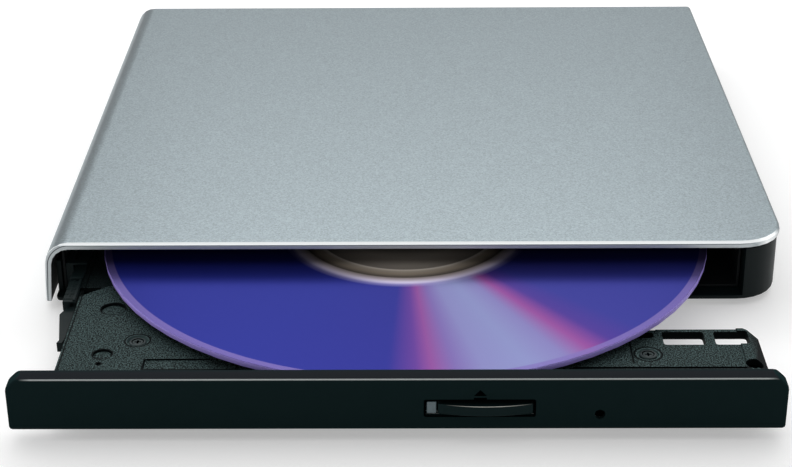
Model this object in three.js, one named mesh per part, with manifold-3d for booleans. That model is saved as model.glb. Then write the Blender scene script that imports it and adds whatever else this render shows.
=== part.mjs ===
// Slim external disc drive, drawn with its tray part open.
// Millimetres. +Z is up, +Y points to the back, and the origin is the middle of the whole footprint.
// The tray and everything on it is drawn where it lies when the drive is shut, then moved out.

import * as THREE from 'three';
import { mergeVertices } from 'three/addons/utils/BufferGeometryUtils.js';
import Module from 'manifold-3d';

const wasm = await Module();
wasm.setup();

// Clearances, and how far a cutting tool runs past what it cuts
const gap = { seat: 0.1, slide: 0.15, fit: 0.3 };
const overrun = 1;

// Straight steps to a quarter turn, for each root of the radius
const arcFineness = 2;

// Whole drive
const body = { width: 144, depth: 137.5, height: 14 };
const travel = { shown: 48.4, railShare: 0.62 };

// Top cover: a plate whose left side rolls down into a wall
const lid = {
  top: 1.4, wall: 1.2, roll: 4.6, lean: 0.93, lift: 0.2,
  corner: 9, smallCorner: 0.8, bevel: 0.45, bossRadius: 2.2, bossBore: 1.2, boreDepth: 6,
};

// Rubber feet
const foot = { radius: 5, height: 1.2, sunk: 0.25, edge: 0.4, fromSide: 13, fromFront: 15, fromBack: 18 };

// Bottom case
const shell = {
  floor: 0.9, wall: 1.2, leftWall: 0.9, leftWallHeight: 6.4, leanShare: 0.6,
  frontSetback: 0.3, rightSetback: 0.4, backSetback: 0.3, leftWallSetback: 3.6,
  corner: 8.6, smallCorner: 3, edge: 0.5, postWidth: 7.3, postWall: 1, postDepth: 12,
  bossRadius: 2.9, bossHeight: 1.2, boardPad: 0.4, boardPadWidth: 6, ribWidth: 0.9, ribHeight: 3, ribs: 4,
};

// Case screws, driven from below
const caseScrew = {
  head: 1.8, headHeight: 0.8, shank: 0.9, length: 7, sunk: 0.2, fromFront: 20, fromBack: 15.5, fromLeft: 12,
};

// Metal drive chassis and its top shield
const pan = {
  lift: 0.2, sheet: 0.5, front: 3.8, fromBack: 11.7, topGap: 0.2, sideHole: 1.1, sideHoleHeight: 3.2,
};
const shield = {
  drop: 0.5, sheet: 0.5, flange: 1.2, bead: 0.2, beadWidth: 3, beadInset: 16, dishRadius: 34, dishBead: 2.4,
};

// Tray, in its shut place
const tray = {
  front: 3.4, backGap: 1.2, sideGap: 0.6, plate: 1.2, skirt: 1.9, skirtWall: 1.1,
  wingBack: 26.9, wingCorner: 2.5, wingWidth: 22.1, wingRound: 2.2,
  notchFront: 40, notchBack: 44, notchWidth: 4.9, ledge: 0.9, ledgeDrop: 0.3,
  tongueThickness: 0.6, tongueDrop: 0.3,
  dishInset: 1, dishDepth: 0.4, edgeSlope: 1.8, edgeDrop: 0.9,
  hookWidth: 5, hookHeight: 1, hookReach: 1.5, hookDrop: 0.1, hookShares: [0, 0.28, 0.76, 1],
  channelWidth: 15.5, channelInset: 3.3, channelFront: 50,
};

// Marks and openings in the tray's top, placed from its right or left side
const windows = [
  { fromRight: 19.1, width: 5.8, front: 23.8, back: 26 },
  { fromRight: 9.9, width: 7.6, front: 21.3, back: 26 },
  { fromRight: 1.9, width: 6.2, front: 21.3, back: 26 },
];
const windowRim = { radius: 0.5, depth: 1.8, margin: 0.9 };
const cornerHole = { fromRight: 2.4, y: 14.1, radius: 1.65 };
const stepLine = { y: 12.5, fromRight: 3.9, length: 33, width: 0.45, depth: 0.3 };
const wingPanel = { fromRight: 3.7, width: 20.4, front: 14, depth: 0.25, corner: 1.2 };
const frontPanel = { fromLeft: 15.44, width: 38, front: 12.6, back: 16.2, depth: 0.3, corner: 0.5 };
const roundMarks = [
  { fromLeft: 7.14, y: 34.9, radius: 2.35, depth: 0.5 },
  { fromLeft: 7.64, y: 17.9, radius: 1.8, depth: 0.4 },
  { fromLeft: 7.44, y: 14.5, radius: 0.45, depth: 0.4 },
];
const trayScrew = {
  leftInset: 13.34, leftY: 22.8, rightInset: 20.8, rightY: 17.9,
  head: 1.6, headHeight: 0.5, recess: 2.1, recessDepth: 0.75, shank: 0.75, bore: 1.05, boss: 2, socket: 0.8,
};

// Tray bottom cover, a thin metal plate under the pickup
const cover = {
  lift: 0.6, sheet: 0.4, front: 15, overWing: 3.8, stepGap: 0.8, channelGap: 1.5, inset: 0.5, corner: 2,
};

// Drawer front
const bezel = {
  depth: 3.2, sideGap: 0.4, postGap: 0.5, topGap: 0.3, lift: 0.2, chamferWidth: 1.9, chamferHeight: 1.8,
  lowCorner: 0.6, highCorner: 1.4, face: 1.5, rim: 1.1, edge: 0.4, ribs: [-40, -10, 44], ribWidth: 1,
  slotLeft: 2.07, slotRight: 20.7, slotBottom: 5.07, slotTop: 8, pinX: 31.9, pinZ: 5.27, pinRadius: 0.95,
};
const indicator = { width: 1.7, margin: 0.2, heightMargin: 0.3, recess: 0.15 };
const button = {
  bow: 1, gap: 0.25, bottom: 5.45, top: 7.4, flange: 0.6, flangeReach: 1.3,
  stemLeft: 11.4, stemWidth: 2, stemHeight: 0.7, stemLength: 1.6,
};

// Boards under the tray
const board = { thickness: 0.6, drop: 0.1 };
const frontBoard = { left: -1, right: 17, front: 5.2, back: 13.2, corner: 0.6 };
const ejectSwitch = { width: 4, depth: 2.6, height: 1, plunger: 0.4, plungerWidth: 1.4 };
const mainBoard = {
  fromLeft: 19.44, front: 16, back: 33, tailInset: 0.6, rightInset: 0.9, fromBack: 2.6, corner: 1,
};
const chip = { size: 9, height: 0.95, x: -14, y: 24.5, corner: 0.5 };
const memoryChip = { width: 6, depth: 8, x: 4 };
const trayConnector = { width: 14, depth: 4, height: 1.1, inset: 1 };

// Flat cable, lying in one fold under the tray
const cable = { width: 12, thickness: 0.15, length: 140, lift: 0.15, rise: 1.6 };

// Boards and socket at the back of the case
const rearBoard = {
  fromLeft: 24, fromRight: 12, panGap: 1.4, fromBack: 2.7, thickness: 0.8, corner: 0.8, notchGap: 0.5,
};
const rearConnector = { width: 14, depth: 3.9, height: 1.7, lift: 0.75 };
const bridgeChip = { size: 6, height: 0.95, x: -5 };
const socket = {
  fromRight: 26, fromBack: 0.5, width: 7.7, height: 3.9, depth: 9.2, wall: 0.35, corner: 0.6, slope: 1.1,
  cavity: 6.6,
  tongueWidth: 4.4, tongueHeight: 0.8, tongueLength: 5.4,
};

// Rails between the tray and the chassis
const rail = {
  width: 2.4, bottom: 4, height: 3.2, groove: 1.1, slotHeight: 0.8, innerSlot: 6, outerSlot: 4.5,
  front: 5.6, backGap: 5.4, bodyFront: 19, tongueHeight: 1.9, tongueWaist: 0.7, bulge: 0.2, bulgeY: 16.4,
  tipWidth: 1, tipEnd: 1.3, tipCut: 0.25, tipSlope: 2, padRibs: 5, padRib: 0.7, padPitch: 2, padHeight: 0.12,
};
const rightRail = { front: 28, backGap: 6.6, gap: 0.5 };
const guide = {
  web: 1.5, bottom: 2.95, top: 7.9, front: 3.7, backGap: 1.8, lipDepth: 1.5, lipThickness: 0.45,
  foot: 5, footHeight: 0.6,
};

// Disc and its drive
const disc = {
  radius: 60, bore: 7.5, thickness: 1.2, lift: 1.3, x: -1.5, frontGap: 0.4,
  ringRadius: 17, ringWidth: 1, ringDrop: 0.2, edge: 0.2,
};
const motor = {
  flange: 12.4, flangeThickness: 0.4, tube: 2.6, tubeBore: 1.62, tubeHeight: 2, stator: 10.4, statorCore: 4.6,
  statorHeight: 1.5,
};
const turntable = {
  radius: 13, skirt: 0.7, skirtDrop: 2.2, plate: 0.8, shaft: 1.45, shaftDrop: 2.3,
  ringWidth: 2.2, ringHeight: 0.2,
};
const hub = {
  radius: 7.2, claw: 7.75, clawWidth: 2.6, clawHeight: 0.5, claws: 3, height: 2.55, bevel: 1.2,
  recess: 3, recessDepth: 0.9,
};

// Traverse: the frame under the tray that carries spindle and pickup, drawn about the spindle
// with +X along the pickup's travel
const traverse = {
  turn: 135, plate: 0.6, lift: 0.3, rodSpread: 16, rodRadius: 1, rodHeight: 1.8, rodStart: 4, rodEnd: 58,
  post: 1.7, postStart: 3.2, postInner: 5.6, postOuter: 56.3, postEnd: 58.4, postHeight: 3.3,
  screwSpread: 20.4, screwRadius: 0.9, screwStart: 4.4, screwEnd: 48,
  motorRadius: 1.6, motorStart: 48.3, motorEnd: 58.2,
  startRadius: 24, openingStart: 14.4, openingEnd: 63.2, openingHalf: 12.2, openingCorner: 1,
};
const traverseOutline = [
  [-16.5, -12, 3], [-7, -20, 2], [1, -24.3, 2], [59.5, -24.3, 2], [66.2, -12.5, 2],
  [66.2, 11, 2], [57.5, 19.6, 2], [-7, 19.6, 2], [-16.5, 12, 3],
];
const trayWindow = [
  [-15.2, -11.5, 3], [-6.4, -18.6, 2], [1.6, -22.9, 2], [60.4, -22.9, 2], [67, -12, 2],
  [67, 9.6, 2], [59, 18.2, 2], [-6.4, 18.2, 2], [-15.2, 11.5, 3],
];
const damper = {
  places: [{ u: -19, v: 0 }, { u: 30, v: 23 }, { u: 38, v: -26.5 }],
  ear: 4, hole: 2.6, outer: 2.3, flange: 3, bore: 1.25, pin: 0.9, flangeHeight: 0.7,
};

// Pickup, drawn about its lens
const pickup = {
  inner: -9, outer: 6.5, half: 11.8, height: 3.2, well: 5.4, wellHalf: 7.6, wellDepth: 1.9,
  lugInner: -14, lugOuter: -3, lugReach: 2.2, lugHeight: 3, forkInner: -8, lugLift: 0.3,
  bore: 1.15, coverSheet: 0.2, coverOpening: 5.2, coverHalf: 6.8, coverInset: 0.4,
};
const nut = { inner: -13.5, outer: -8.5, width: 3.2, lift: 0.2, height: 1.4, bore: 1.2 };
const lens = {
  radius: 1.9, holderHalf: 4.6, holderWidth: 5.8, holderHeight: 1.3, height: 0.7, dome: 0.3,
  seatRadius: 1.4, seatHeight: 0.5, top: 0.4,
};

// Tray lock
const lock = {
  fromRight: 12.9, pivotY: 8, pin: 1, hub: 2.2, bore: 1.35, thickness: 0.7, lift: 0.4, release: 14,
  armWidth: 1.8, armReach: 11.3, barb: 3.2, barbThickness: 1.8, tailReach: 19, tailWidth: 1.4, tailDrop: 2.8,
  postInset: 3.5, postY: 16, postRadius: 1.1, postHeight: 2.1, postFoot: 1.8, postFootHeight: 0.4,
};
const solenoid = {
  pivotGap: 21, width: 9, front: 5.6, back: 13.6, height: 1.6, core: 0.9, coreLength: 1.6, corner: 0.5,
};

// Places worked out from the sizes
const left = -body.width / 2;
const right = body.width / 2;
const caseBottom = foot.height;
const floorTop = caseBottom + shell.floor;
const lidUnder = body.height - lid.top;
const caseTop = lidUnder - gap.fit;
const caseLeft = left + lid.wall + lid.lean * shell.leanShare + gap.fit;
const caseRight = right - shell.rightSetback;
const caseFront = shell.frontSetback;
const caseBack = body.depth - shell.backSetback;
const postLeft = caseRight - shell.postWidth;
const panLeft = caseLeft + shell.leftWall + gap.fit;
const panRight = postLeft - gap.fit;
const panBottom = floorTop + pan.lift;
const panTop = panBottom + pan.sheet;
const shieldBottom = lidUnder - shield.drop - shield.sheet;
const guideLeft = panLeft + pan.sheet + gap.seat;
const railLeft = guideLeft + guide.web + gap.fit;
const railRight = railLeft + rail.width;
const trayLeft = railRight + rightRail.gap;
const trayRight = panRight - pan.sheet - tray.sideGap;
const coverBottom = panTop + cover.lift;
const skirtBottom = coverBottom + cover.sheet + gap.seat;
const plateBottom = skirtBottom + tray.skirt;
const trayTop = plateBottom + tray.plate;
const discBottom = trayTop + disc.lift;
const discTop = discBottom + disc.thickness;
const boardTop = plateBottom - board.drop;
const boardBottom = boardTop - board.thickness;
const frontmost = -travel.shown - button.bow;
const middleY = (frontmost + body.depth) / 2;
const panBack = body.depth - pan.fromBack;
const trayBack = panBack - tray.backGap;
const railBack = trayBack - rail.backGap;
const guideBack = panBack - guide.backGap;
const wingInner = trayRight - tray.wingWidth;
const channelRight = wingInner - tray.channelInset;
const channelLeft = channelRight - tray.channelWidth;
const discY = tray.front + disc.frontGap + disc.radius;
const pivotX = trayRight - lock.fromRight;
const rearBoardLeft = left + rearBoard.fromLeft;
const rearBoardRight = right - rearBoard.fromRight;
const rearBoardFront = panBack + rearBoard.panGap;
const rearBoardBack = body.depth - rearBoard.fromBack;
const rearConnectorFront = panBack + gap.fit;
const socketX = right - socket.fromRight;
const socketBack = body.depth - socket.fromBack;
const mainBoardBack = trayBack - mainBoard.fromBack;
const trayConnectorBack = mainBoardBack - trayConnector.inset;
const pickupBottom = skirtBottom + gap.seat;
const traverseBottom = skirtBottom + traverse.lift - gap.seat;
const traverseTop = traverseBottom + traverse.plate;
const rodZ = traverseTop + traverse.rodHeight;

// Outlines and basic forms

function stepsPerQuarter(radius) {
  return Math.ceil(arcFineness * Math.sqrt(radius));
}

function wrap(list, index) {
  return list[(index + list.length) % list.length];
}

// Points of a closed outline. A corner is [x, y] or [x, y, radius].
function rounded(corners) {
  const points = [];
  corners.forEach(([x, y, radius = 0], index) => {
    const corner = new THREE.Vector2(x, y);
    if (radius === 0) {
      points.push(corner);
      return;
    }
    const [beforeX, beforeY] = wrap(corners, index - 1);
    const [afterX, afterY] = wrap(corners, index + 1);
    const back = new THREE.Vector2(beforeX, beforeY).sub(corner).normalize();
    const on = new THREE.Vector2(afterX, afterY).sub(corner).normalize();
    const halfAngle = Math.acos(THREE.MathUtils.clamp(back.dot(on), -1, 1)) / 2;
    const centre = back.clone().add(on).normalize();
    centre.multiplyScalar(radius / Math.sin(halfAngle)).add(corner);
    const reach = radius / Math.tan(halfAngle);
    const start = back.multiplyScalar(reach).add(corner).sub(centre);
    const end = on.multiplyScalar(reach).add(corner).sub(centre);
    const turn = Math.atan2(start.x * end.y - start.y * end.x, start.dot(end));
    const steps = Math.max(2, Math.ceil(stepsPerQuarter(radius) * Math.abs(turn) / (Math.PI / 2)));
    for (let step = 0; step <= steps; step += 1) {
      const point = start.clone().rotateAround(new THREE.Vector2(), turn * step / steps);
      points.push(point.add(centre));
    }
  });
  return points;
}

function outline(corners) {
  return new THREE.Shape(rounded(corners));
}

function rectangle(x0, x1, y0, y1, radius = 0) {
  return [[x0, y0, radius], [x1, y0, radius], [x1, y1, radius], [x0, y1, radius]];
}

// An outline in X and Y, raised from one height to another
function prism(corners, bottom, top, holes = []) {
  const shape = outline(corners);
  holes.forEach((hole) => shape.holes.push(new THREE.Path(rounded(hole))));
  const form = new THREE.ExtrudeGeometry(shape, { depth: top - bottom, bevelEnabled: false });
  return form.translate(0, 0, bottom);
}

function turnAxes(form, x, y, z) {
  return form.applyMatrix4(new THREE.Matrix4().makeBasis(x, y, z));
}

const axisX = new THREE.Vector3(1, 0, 0);
const axisY = new THREE.Vector3(0, 1, 0);
const axisZ = new THREE.Vector3(0, 0, 1);

// An outline in X and Z, run from front to back
function alongY(corners, front, back) {
  const form = new THREE.ExtrudeGeometry(outline(corners), { depth: back - front, bevelEnabled: false });
  return turnAxes(form, axisX, axisZ, axisY.clone().negate()).translate(0, back, 0);
}

// An outline in Y and Z, run from left to right
function alongX(corners, from, to) {
  const form = new THREE.ExtrudeGeometry(outline(corners), { depth: to - from, bevelEnabled: false });
  return turnAxes(form, axisY, axisZ, axisX).translate(from, 0, 0);
}

function block(x0, x1, y0, y1, z0, z1) {
  const form = new THREE.BoxGeometry(x1 - x0, y1 - y0, z1 - z0);
  return form.translate((x0 + x1) / 2, (y0 + y1) / 2, (z0 + z1) / 2);
}

// An upright round bar
function drum(x, y, radius, bottom, top) {
  const form = new THREE.CylinderGeometry(radius, radius, top - bottom, 4 * stepsPerQuarter(radius));
  return form.rotateX(Math.PI / 2).translate(x, y, (bottom + top) / 2);
}

// A round bar lying along X
function barAlongX(y, z, radius, from, to) {
  const form = new THREE.CylinderGeometry(radius, radius, to - from, 4 * stepsPerQuarter(radius));
  return form.rotateZ(Math.PI / 2).translate((from + to) / 2, y, z);
}

// A round bar lying along Y
function barAlongY(x, z, radius, front, back) {
  const form = new THREE.CylinderGeometry(radius, radius, back - front, 4 * stepsPerQuarter(radius));
  return form.translate(x, (front + back) / 2, z);
}

// A profile of [radius, height] points, anticlockwise, turned about an upright axis
function turned(profile, x = 0, y = 0) {
  const points = profile.map(([radius, height]) => new THREE.Vector2(radius, height));
  if (profile[0][0] !== 0) {
    points.push(points[0].clone());
  }
  const widest = Math.max(...profile.map(([radius]) => radius));
  return new THREE.LatheGeometry(points, 4 * stepsPerQuarter(widest)).rotateX(Math.PI / 2).translate(x, y, 0);
}

// Joining and cutting

function asManifold(form) {
  const bare = new THREE.BufferGeometry();
  bare.setAttribute('position', form.getAttribute('position'));
  bare.setIndex(form.index);
  const merged = mergeVertices(bare);
  const triangles = [];
  for (let start = 0; start < merged.index.count; start += 3) {
    const corners = [0, 1, 2].map((offset) => merged.index.getX(start + offset));
    if (new Set(corners).size === 3) {
      triangles.push(...corners);
    }
  }
  return new wasm.Manifold(new wasm.Mesh({
    numProp: 3,
    vertProperties: merged.getAttribute('position').array,
    triVerts: Uint32Array.from(triangles),
  }));
}

function asForm(manifold) {
  const mesh = manifold.getMesh();
  const form = new THREE.BufferGeometry();
  form.setAttribute('position', new THREE.BufferAttribute(new Float32Array(mesh.vertProperties), 3));
  form.setIndex(new THREE.BufferAttribute(new Uint32Array(mesh.triVerts), 1));
  return form;
}

function join(first, ...others) {
  return asForm(others.reduce((whole, other) => whole.add(asManifold(other)), asManifold(first)));
}

function cut(first, ...tools) {
  return asForm(tools.reduce((rest, tool) => rest.subtract(asManifold(tool)), asManifold(first)));
}

function common(first, second) {
  return asForm(asManifold(first).intersect(asManifold(second)));
}

// Finishes

const finishes = {
  silver: { color: 0x9ea5aa, roughness: 0.38, metalness: 0.85 },
  black: { color: 0x101818, roughness: 0.5, metalness: 0 },
  trayGrey: { color: 0x3a4242, roughness: 0.75, metalness: 0 },
  rubber: { color: 0x1c1c1c, roughness: 0.9, metalness: 0 },
  sheet: { color: 0xa4a6a4, roughness: 0.45, metalness: 0.9 },
  steel: { color: 0xbcbcba, roughness: 0.3, metalness: 1 },
  blackScrew: { color: 0x2a2c2e, roughness: 0.4, metalness: 0.8 },
  palePlastic: { color: 0x8d9092, roughness: 0.6, metalness: 0 },
  board: { color: 0x1e5a38, roughness: 0.6, metalness: 0 },
  chip: { color: 0x18191b, roughness: 0.5, metalness: 0 },
  cable: { color: 0xb98a3c, roughness: 0.5, metalness: 0 },
  indicator: { color: 0x9fa8a2, roughness: 0.3, metalness: 0 },
  disc: { color: 0x4a3fa0, roughness: 0.2, metalness: 0.4 },
  lens: { color: 0x8fb0c8, roughness: 0.1, metalness: 0 },
};

function piece(name, form, finish) {
  const geometry = asForm(asManifold(form));
  geometry.computeVertexNormals();
  const mesh = new THREE.Mesh(geometry, new THREE.MeshStandardMaterial(finishes[finish]));
  mesh.name = name;
  return mesh;
}

// Case

const screwPlaces = [
  { name: 'front_right', x: (postLeft + caseRight - shell.wall) / 2, y: caseScrew.fromFront },
  { name: 'rear_right', x: (postLeft + caseRight - shell.wall) / 2, y: body.depth - caseScrew.fromBack },
  { name: 'rear_left', x: left + caseScrew.fromLeft, y: (panBack + caseBack - shell.wall) / 2 },
];
const footPlaces = [
  { name: 'front_left', x: left + foot.fromSide, y: foot.fromFront },
  { name: 'front_right', x: right - foot.fromSide, y: foot.fromFront },
  { name: 'rear_left', x: left + foot.fromSide, y: body.depth - foot.fromBack },
  { name: 'rear_right', x: right - foot.fromSide, y: body.depth - foot.fromBack },
];
const caseBossTop = floorTop + shell.bossHeight;

function topCover() {
  const bottom = caseBottom + lid.lift;
  const section = [
    [right, body.height],
    [left + lid.lean, body.height, lid.roll],
    [left, bottom],
    [left + lid.wall, bottom],
    [left + lid.lean + lid.wall, lidUnder, lid.roll - lid.wall],
    [right, lidUnder],
  ];
  const plan = outline([
    [left, 0, lid.smallCorner],
    [right, 0, lid.corner],
    [right, body.depth, lid.smallCorner],
    [left, body.depth, lid.smallCorner],
  ]);
  const slab = new THREE.ExtrudeGeometry(plan, {
    depth: body.height - lid.bevel,
    bevelThickness: lid.bevel,
    bevelSize: lid.bevel,
    bevelOffset: -lid.bevel,
    bevelSegments: 1,
  });
  const plate = common(alongY(section, 0, body.depth), slab);
  const bosses = screwPlaces.map(({ x, y }) => drum(
    x, y, lid.bossRadius, caseBossTop + gap.seat, lidUnder + gap.fit,
  ));
  const bores = screwPlaces.map(({ x, y }) => drum(
    x, y, lid.bossBore, caseBottom, caseBossTop + lid.boreDepth,
  ));
  return piece('top_cover', cut(join(plate, ...bosses), ...bores), 'silver');
}

function bottomCase() {
  const plan = outline([
    [caseLeft, caseFront, lid.smallCorner],
    [caseRight, caseFront, shell.corner],
    [caseRight, caseBack, shell.smallCorner],
    [caseLeft, caseBack, shell.smallCorner],
  ]);
  const outer = new THREE.ExtrudeGeometry(plan, {
    depth: body.height,
    bevelThickness: shell.edge,
    bevelSize: shell.edge,
    bevelOffset: -shell.edge,
    bevelSegments: 2,
  }).translate(0, 0, caseBottom + shell.edge);
  const backInner = caseBack - shell.wall;
  const postRight = caseRight - shell.wall;
  const postInner = postLeft + shell.postWall;
  const leftInner = caseLeft + shell.leftWall;
  const wallTop = floorTop + shell.leftWallHeight;
  const above = body.height + overrun + shell.edge * 2;
  const hollow = Math.min(shell.corner - shell.wall, postRight - postInner - gap.fit);
  const cuts = [
    block(left, right, -overrun, body.depth + overrun, caseTop, above + caseBottom),
    block(leftInner, postLeft, -overrun, backInner, floorTop, above),
    block(left - overrun, leftInner + overrun, -overrun, shell.leftWallSetback, floorTop, above),
    block(left - overrun, leftInner + overrun, -overrun, body.depth + overrun, wallTop, above),
    block(postLeft - overrun, postRight, shell.postDepth, backInner, floorTop, above),
    prism([
      [postInner, caseFront + shell.wall],
      [postRight, caseFront + shell.wall, hollow],
      [postRight, shell.postDepth + overrun],
      [postInner, shell.postDepth + overrun],
    ], floorTop, above),
  ];
  const bosses = screwPlaces.map(({ x, y }) => drum(
    x, y, shell.bossRadius, caseBottom + shell.edge, caseBossTop,
  ));
  const pads = [rearBoardLeft, rearBoardRight - shell.boardPadWidth].map((start) => block(
    start, start + shell.boardPadWidth, rearBoardFront, rearBoardBack,
    floorTop - gap.fit, floorTop + shell.boardPad,
  ));
  const [frontScrew, rearScrew] = screwPlaces;
  const ribStep = (rearScrew.y - frontScrew.y) / (shell.ribs + 1);
  const ribs = Array.from({ length: shell.ribs }, (_, index) => {
    const y = frontScrew.y + ribStep * (index + 1);
    return block(
      postLeft, postRight + gap.fit, y, y + shell.ribWidth, floorTop - gap.fit, floorTop + shell.ribHeight,
    );
  });
  const headTop = caseBottom + caseScrew.sunk + caseScrew.headHeight + gap.fit;
  const holes = screwPlaces.flatMap(({ x, y }) => [
    drum(x, y, caseScrew.head + gap.fit, 0, headTop),
    drum(x, y, caseScrew.shank + gap.fit, 0, caseBossTop + overrun),
  ]);
  const recesses = footPlaces.map(({ x, y }) => drum(
    x, y, foot.radius + gap.fit, 0, caseBottom + foot.sunk + gap.seat,
  ));
  const mouth = gap.fit + socket.wall;
  const socketBottom = socketZ() - gap.fit;
  const port = block(
    socketX - socket.width / 2 - mouth, socketX + socket.width / 2 + mouth,
    backInner - overrun, caseBack + overrun, socketBottom, socketBottom + socket.height + gap.fit * 2,
  );
  const filled = join(cut(outer, ...cuts), ...bosses, ...pads, ...ribs);
  return piece('bottom_case', cut(filled, ...holes, ...recesses, port), 'black');
}

function feet() {
  return footPlaces.map(({ name, x, y }) => piece(`foot_${name}`, turned([
    [0, 0],
    [foot.radius - foot.edge, 0],
    [foot.radius, foot.edge],
    [foot.radius, foot.height + foot.sunk],
    [0, foot.height + foot.sunk],
  ], x, y), 'rubber'));
}

function caseScrews() {
  const bottom = caseBottom + caseScrew.sunk;
  return screwPlaces.map(({ name, x, y }) => piece(`case_screw_${name}`, turned([
    [0, bottom],
    [caseScrew.head, bottom],
    [caseScrew.head, bottom + caseScrew.headHeight],
    [caseScrew.shank, bottom + caseScrew.headHeight],
    [caseScrew.shank, bottom + caseScrew.length],
    [0, bottom + caseScrew.length],
  ], x, y), 'steel'));
}

// Chassis

function driveChassis() {
  const top = shieldBottom - pan.topGap;
  const section = [
    [panLeft, panBottom], [panRight, panBottom], [panRight, top],
    [panRight - pan.sheet, top], [panRight - pan.sheet, panTop],
    [panLeft + pan.sheet, panTop], [panLeft + pan.sheet, top], [panLeft, top],
  ];
  const sides = alongY(section, pan.front, panBack);
  const rear = block(panLeft, panRight, panBack - pan.sheet, panBack, panBottom, top);
  const cableSlot = block(
    cableMiddle() - cable.width / 2 - gap.fit, cableMiddle() + cable.width / 2 + gap.fit,
    panBack - pan.sheet - overrun, panBack + overrun, panTop, panTop + cable.lift + cable.rise,
  );
  const holeZ = panTop + pan.sideHoleHeight;
  const sideHoles = [1 / 4, 3 / 4].flatMap((share) => {
    const y = pan.front + (panBack - pan.front) * share;
    return [
      barAlongX(y, holeZ, pan.sideHole, panLeft - overrun, panLeft + pan.sheet + overrun),
      barAlongX(y, holeZ, pan.sideHole, panRight - pan.sheet - overrun, panRight + overrun),
    ];
  });
  return piece('drive_chassis', cut(join(sides, rear), cableSlot, ...sideHoles), 'sheet');
}

function topShield() {
  const top = shieldBottom + shield.sheet;
  const plateLeft = panLeft + pan.sheet + gap.fit;
  const plateRight = panRight - pan.sheet - gap.fit;
  const plateBack = panBack - pan.sheet - gap.fit;
  const plate = block(plateLeft, plateRight, pan.front, plateBack, shieldBottom, top);
  const flanges = [plateLeft, plateRight - pan.sheet].map((start) => block(
    start, start + pan.sheet, pan.front, plateBack, shieldBottom - shield.flange, top - gap.seat,
  ));
  const beadStarts = [panLeft + shield.beadInset, panRight - shield.beadInset - shield.beadWidth];
  const beads = beadStarts.map((start) => block(
    start, start + shield.beadWidth, pan.front + shield.beadInset, panBack - shield.beadInset,
    top - gap.seat, top + shield.bead,
  ));
  const dish = turned([
    [shield.dishRadius, top - gap.seat],
    [shield.dishRadius + shield.dishBead, top - gap.seat],
    [shield.dishRadius + shield.dishBead, top + shield.bead],
    [shield.dishRadius, top + shield.bead],
  ], disc.x, discY);
  return piece('top_shield', join(plate, ...flanges, ...beads, dish), 'sheet');
}

function leftRailGuide() {
  const tongueBottom = rail.outerSlot + gap.seat;
  const tongueTop = rail.outerSlot + rail.slotHeight - gap.seat;
  const webRight = guideLeft + guide.web;
  const tongueRight = railLeft + rail.groove - gap.slide;
  const section = [
    [guideLeft, guide.bottom], [webRight, guide.bottom],
    [webRight, tongueBottom], [tongueRight, tongueBottom], [tongueRight, tongueTop], [webRight, tongueTop],
    [webRight, guide.top], [guideLeft, guide.top],
  ];
  const lip = block(
    guideLeft, railRight, guide.front, guide.front + guide.lipDepth,
    guide.top - guide.lipThickness, guide.top,
  );
  return piece('left_rail_guide', join(alongY(section, guide.front, guideBack), lip), 'palePlastic');
}

function rightRailGuide() {
  const tongueBottom = rail.outerSlot + gap.seat;
  const tongueTop = rail.outerSlot + rail.slotHeight - gap.seat;
  const railEnd = rightRailLeft() + rail.width;
  const webLeft = railEnd + gap.fit;
  const tongueLeft = railEnd - rail.groove + gap.slide;
  const section = [
    [webLeft, guide.bottom],
    [webLeft + guide.foot, guide.bottom], [webLeft + guide.foot, guide.bottom + guide.footHeight],
    [webLeft + guide.web, guide.bottom + guide.footHeight],
    [webLeft + guide.web, guide.top], [webLeft, guide.top],
    [webLeft, tongueTop], [tongueLeft, tongueTop], [tongueLeft, tongueBottom], [webLeft, tongueBottom],
  ];
  return piece('right_rail_guide', alongY(section, rightRail.front, guideBack), 'palePlastic');
}

function lockPost() {
  const bottom = panTop + gap.seat;
  return piece('lock_post', turned([
    [0, bottom],
    [lock.postFoot, bottom],
    [lock.postFoot, bottom + lock.postFootHeight],
    [lock.postRadius, bottom + lock.postFootHeight],
    [lock.postRadius, bottom + lock.postHeight],
    [0, bottom + lock.postHeight],
  ], pivotX - lock.postInset, lock.postY), 'steel');
}

// Boards at the back

function cableMiddle() {
  return (channelLeft + channelRight) / 2;
}

function rearBoardTop() {
  return floorTop + shell.boardPad + gap.seat + rearBoard.thickness;
}

function socketZ() {
  return rearBoardTop() + gap.seat;
}

function rearBoards() {
  const bottom = rearBoardTop() - rearBoard.thickness;
  const notchLeft = cableMiddle() - rearConnector.width / 2 - rearBoard.notchGap;
  const notchRight = cableMiddle() + rearConnector.width / 2 + rearBoard.notchGap;
  const notchBack = rearConnectorFront + rearConnector.depth + rearBoard.notchGap;
  const boardOutline = rectangle(
    rearBoardLeft, rearBoardRight, rearBoardFront, rearBoardBack, rearBoard.corner,
  );
  const plate = cut(
    prism(boardOutline, bottom, rearBoardTop()),
    block(
      notchLeft, notchRight, rearBoardFront - overrun, notchBack, bottom - overrun, rearBoardTop() + overrun,
    ),
  );
  const connector = block(
    cableMiddle() - rearConnector.width / 2, cableMiddle() + rearConnector.width / 2,
    rearConnectorFront, rearConnectorFront + rearConnector.depth,
    floorTop + rearConnector.lift, floorTop + rearConnector.lift + rearConnector.height,
  );
  const middle = (rearBoardFront + rearBoardBack) / 2;
  const half = bridgeChip.size / 2;
  const bridge = prism(
    rectangle(bridgeChip.x - half, bridgeChip.x + half, middle - half, middle + half, chip.corner),
    socketZ(), socketZ() + bridgeChip.height,
  );
  return [
    piece('rear_board', plate, 'board'),
    piece('rear_cable_connector', connector, 'palePlastic'),
    piece('bridge_chip', bridge, 'chip'),
  ];
}

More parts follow.
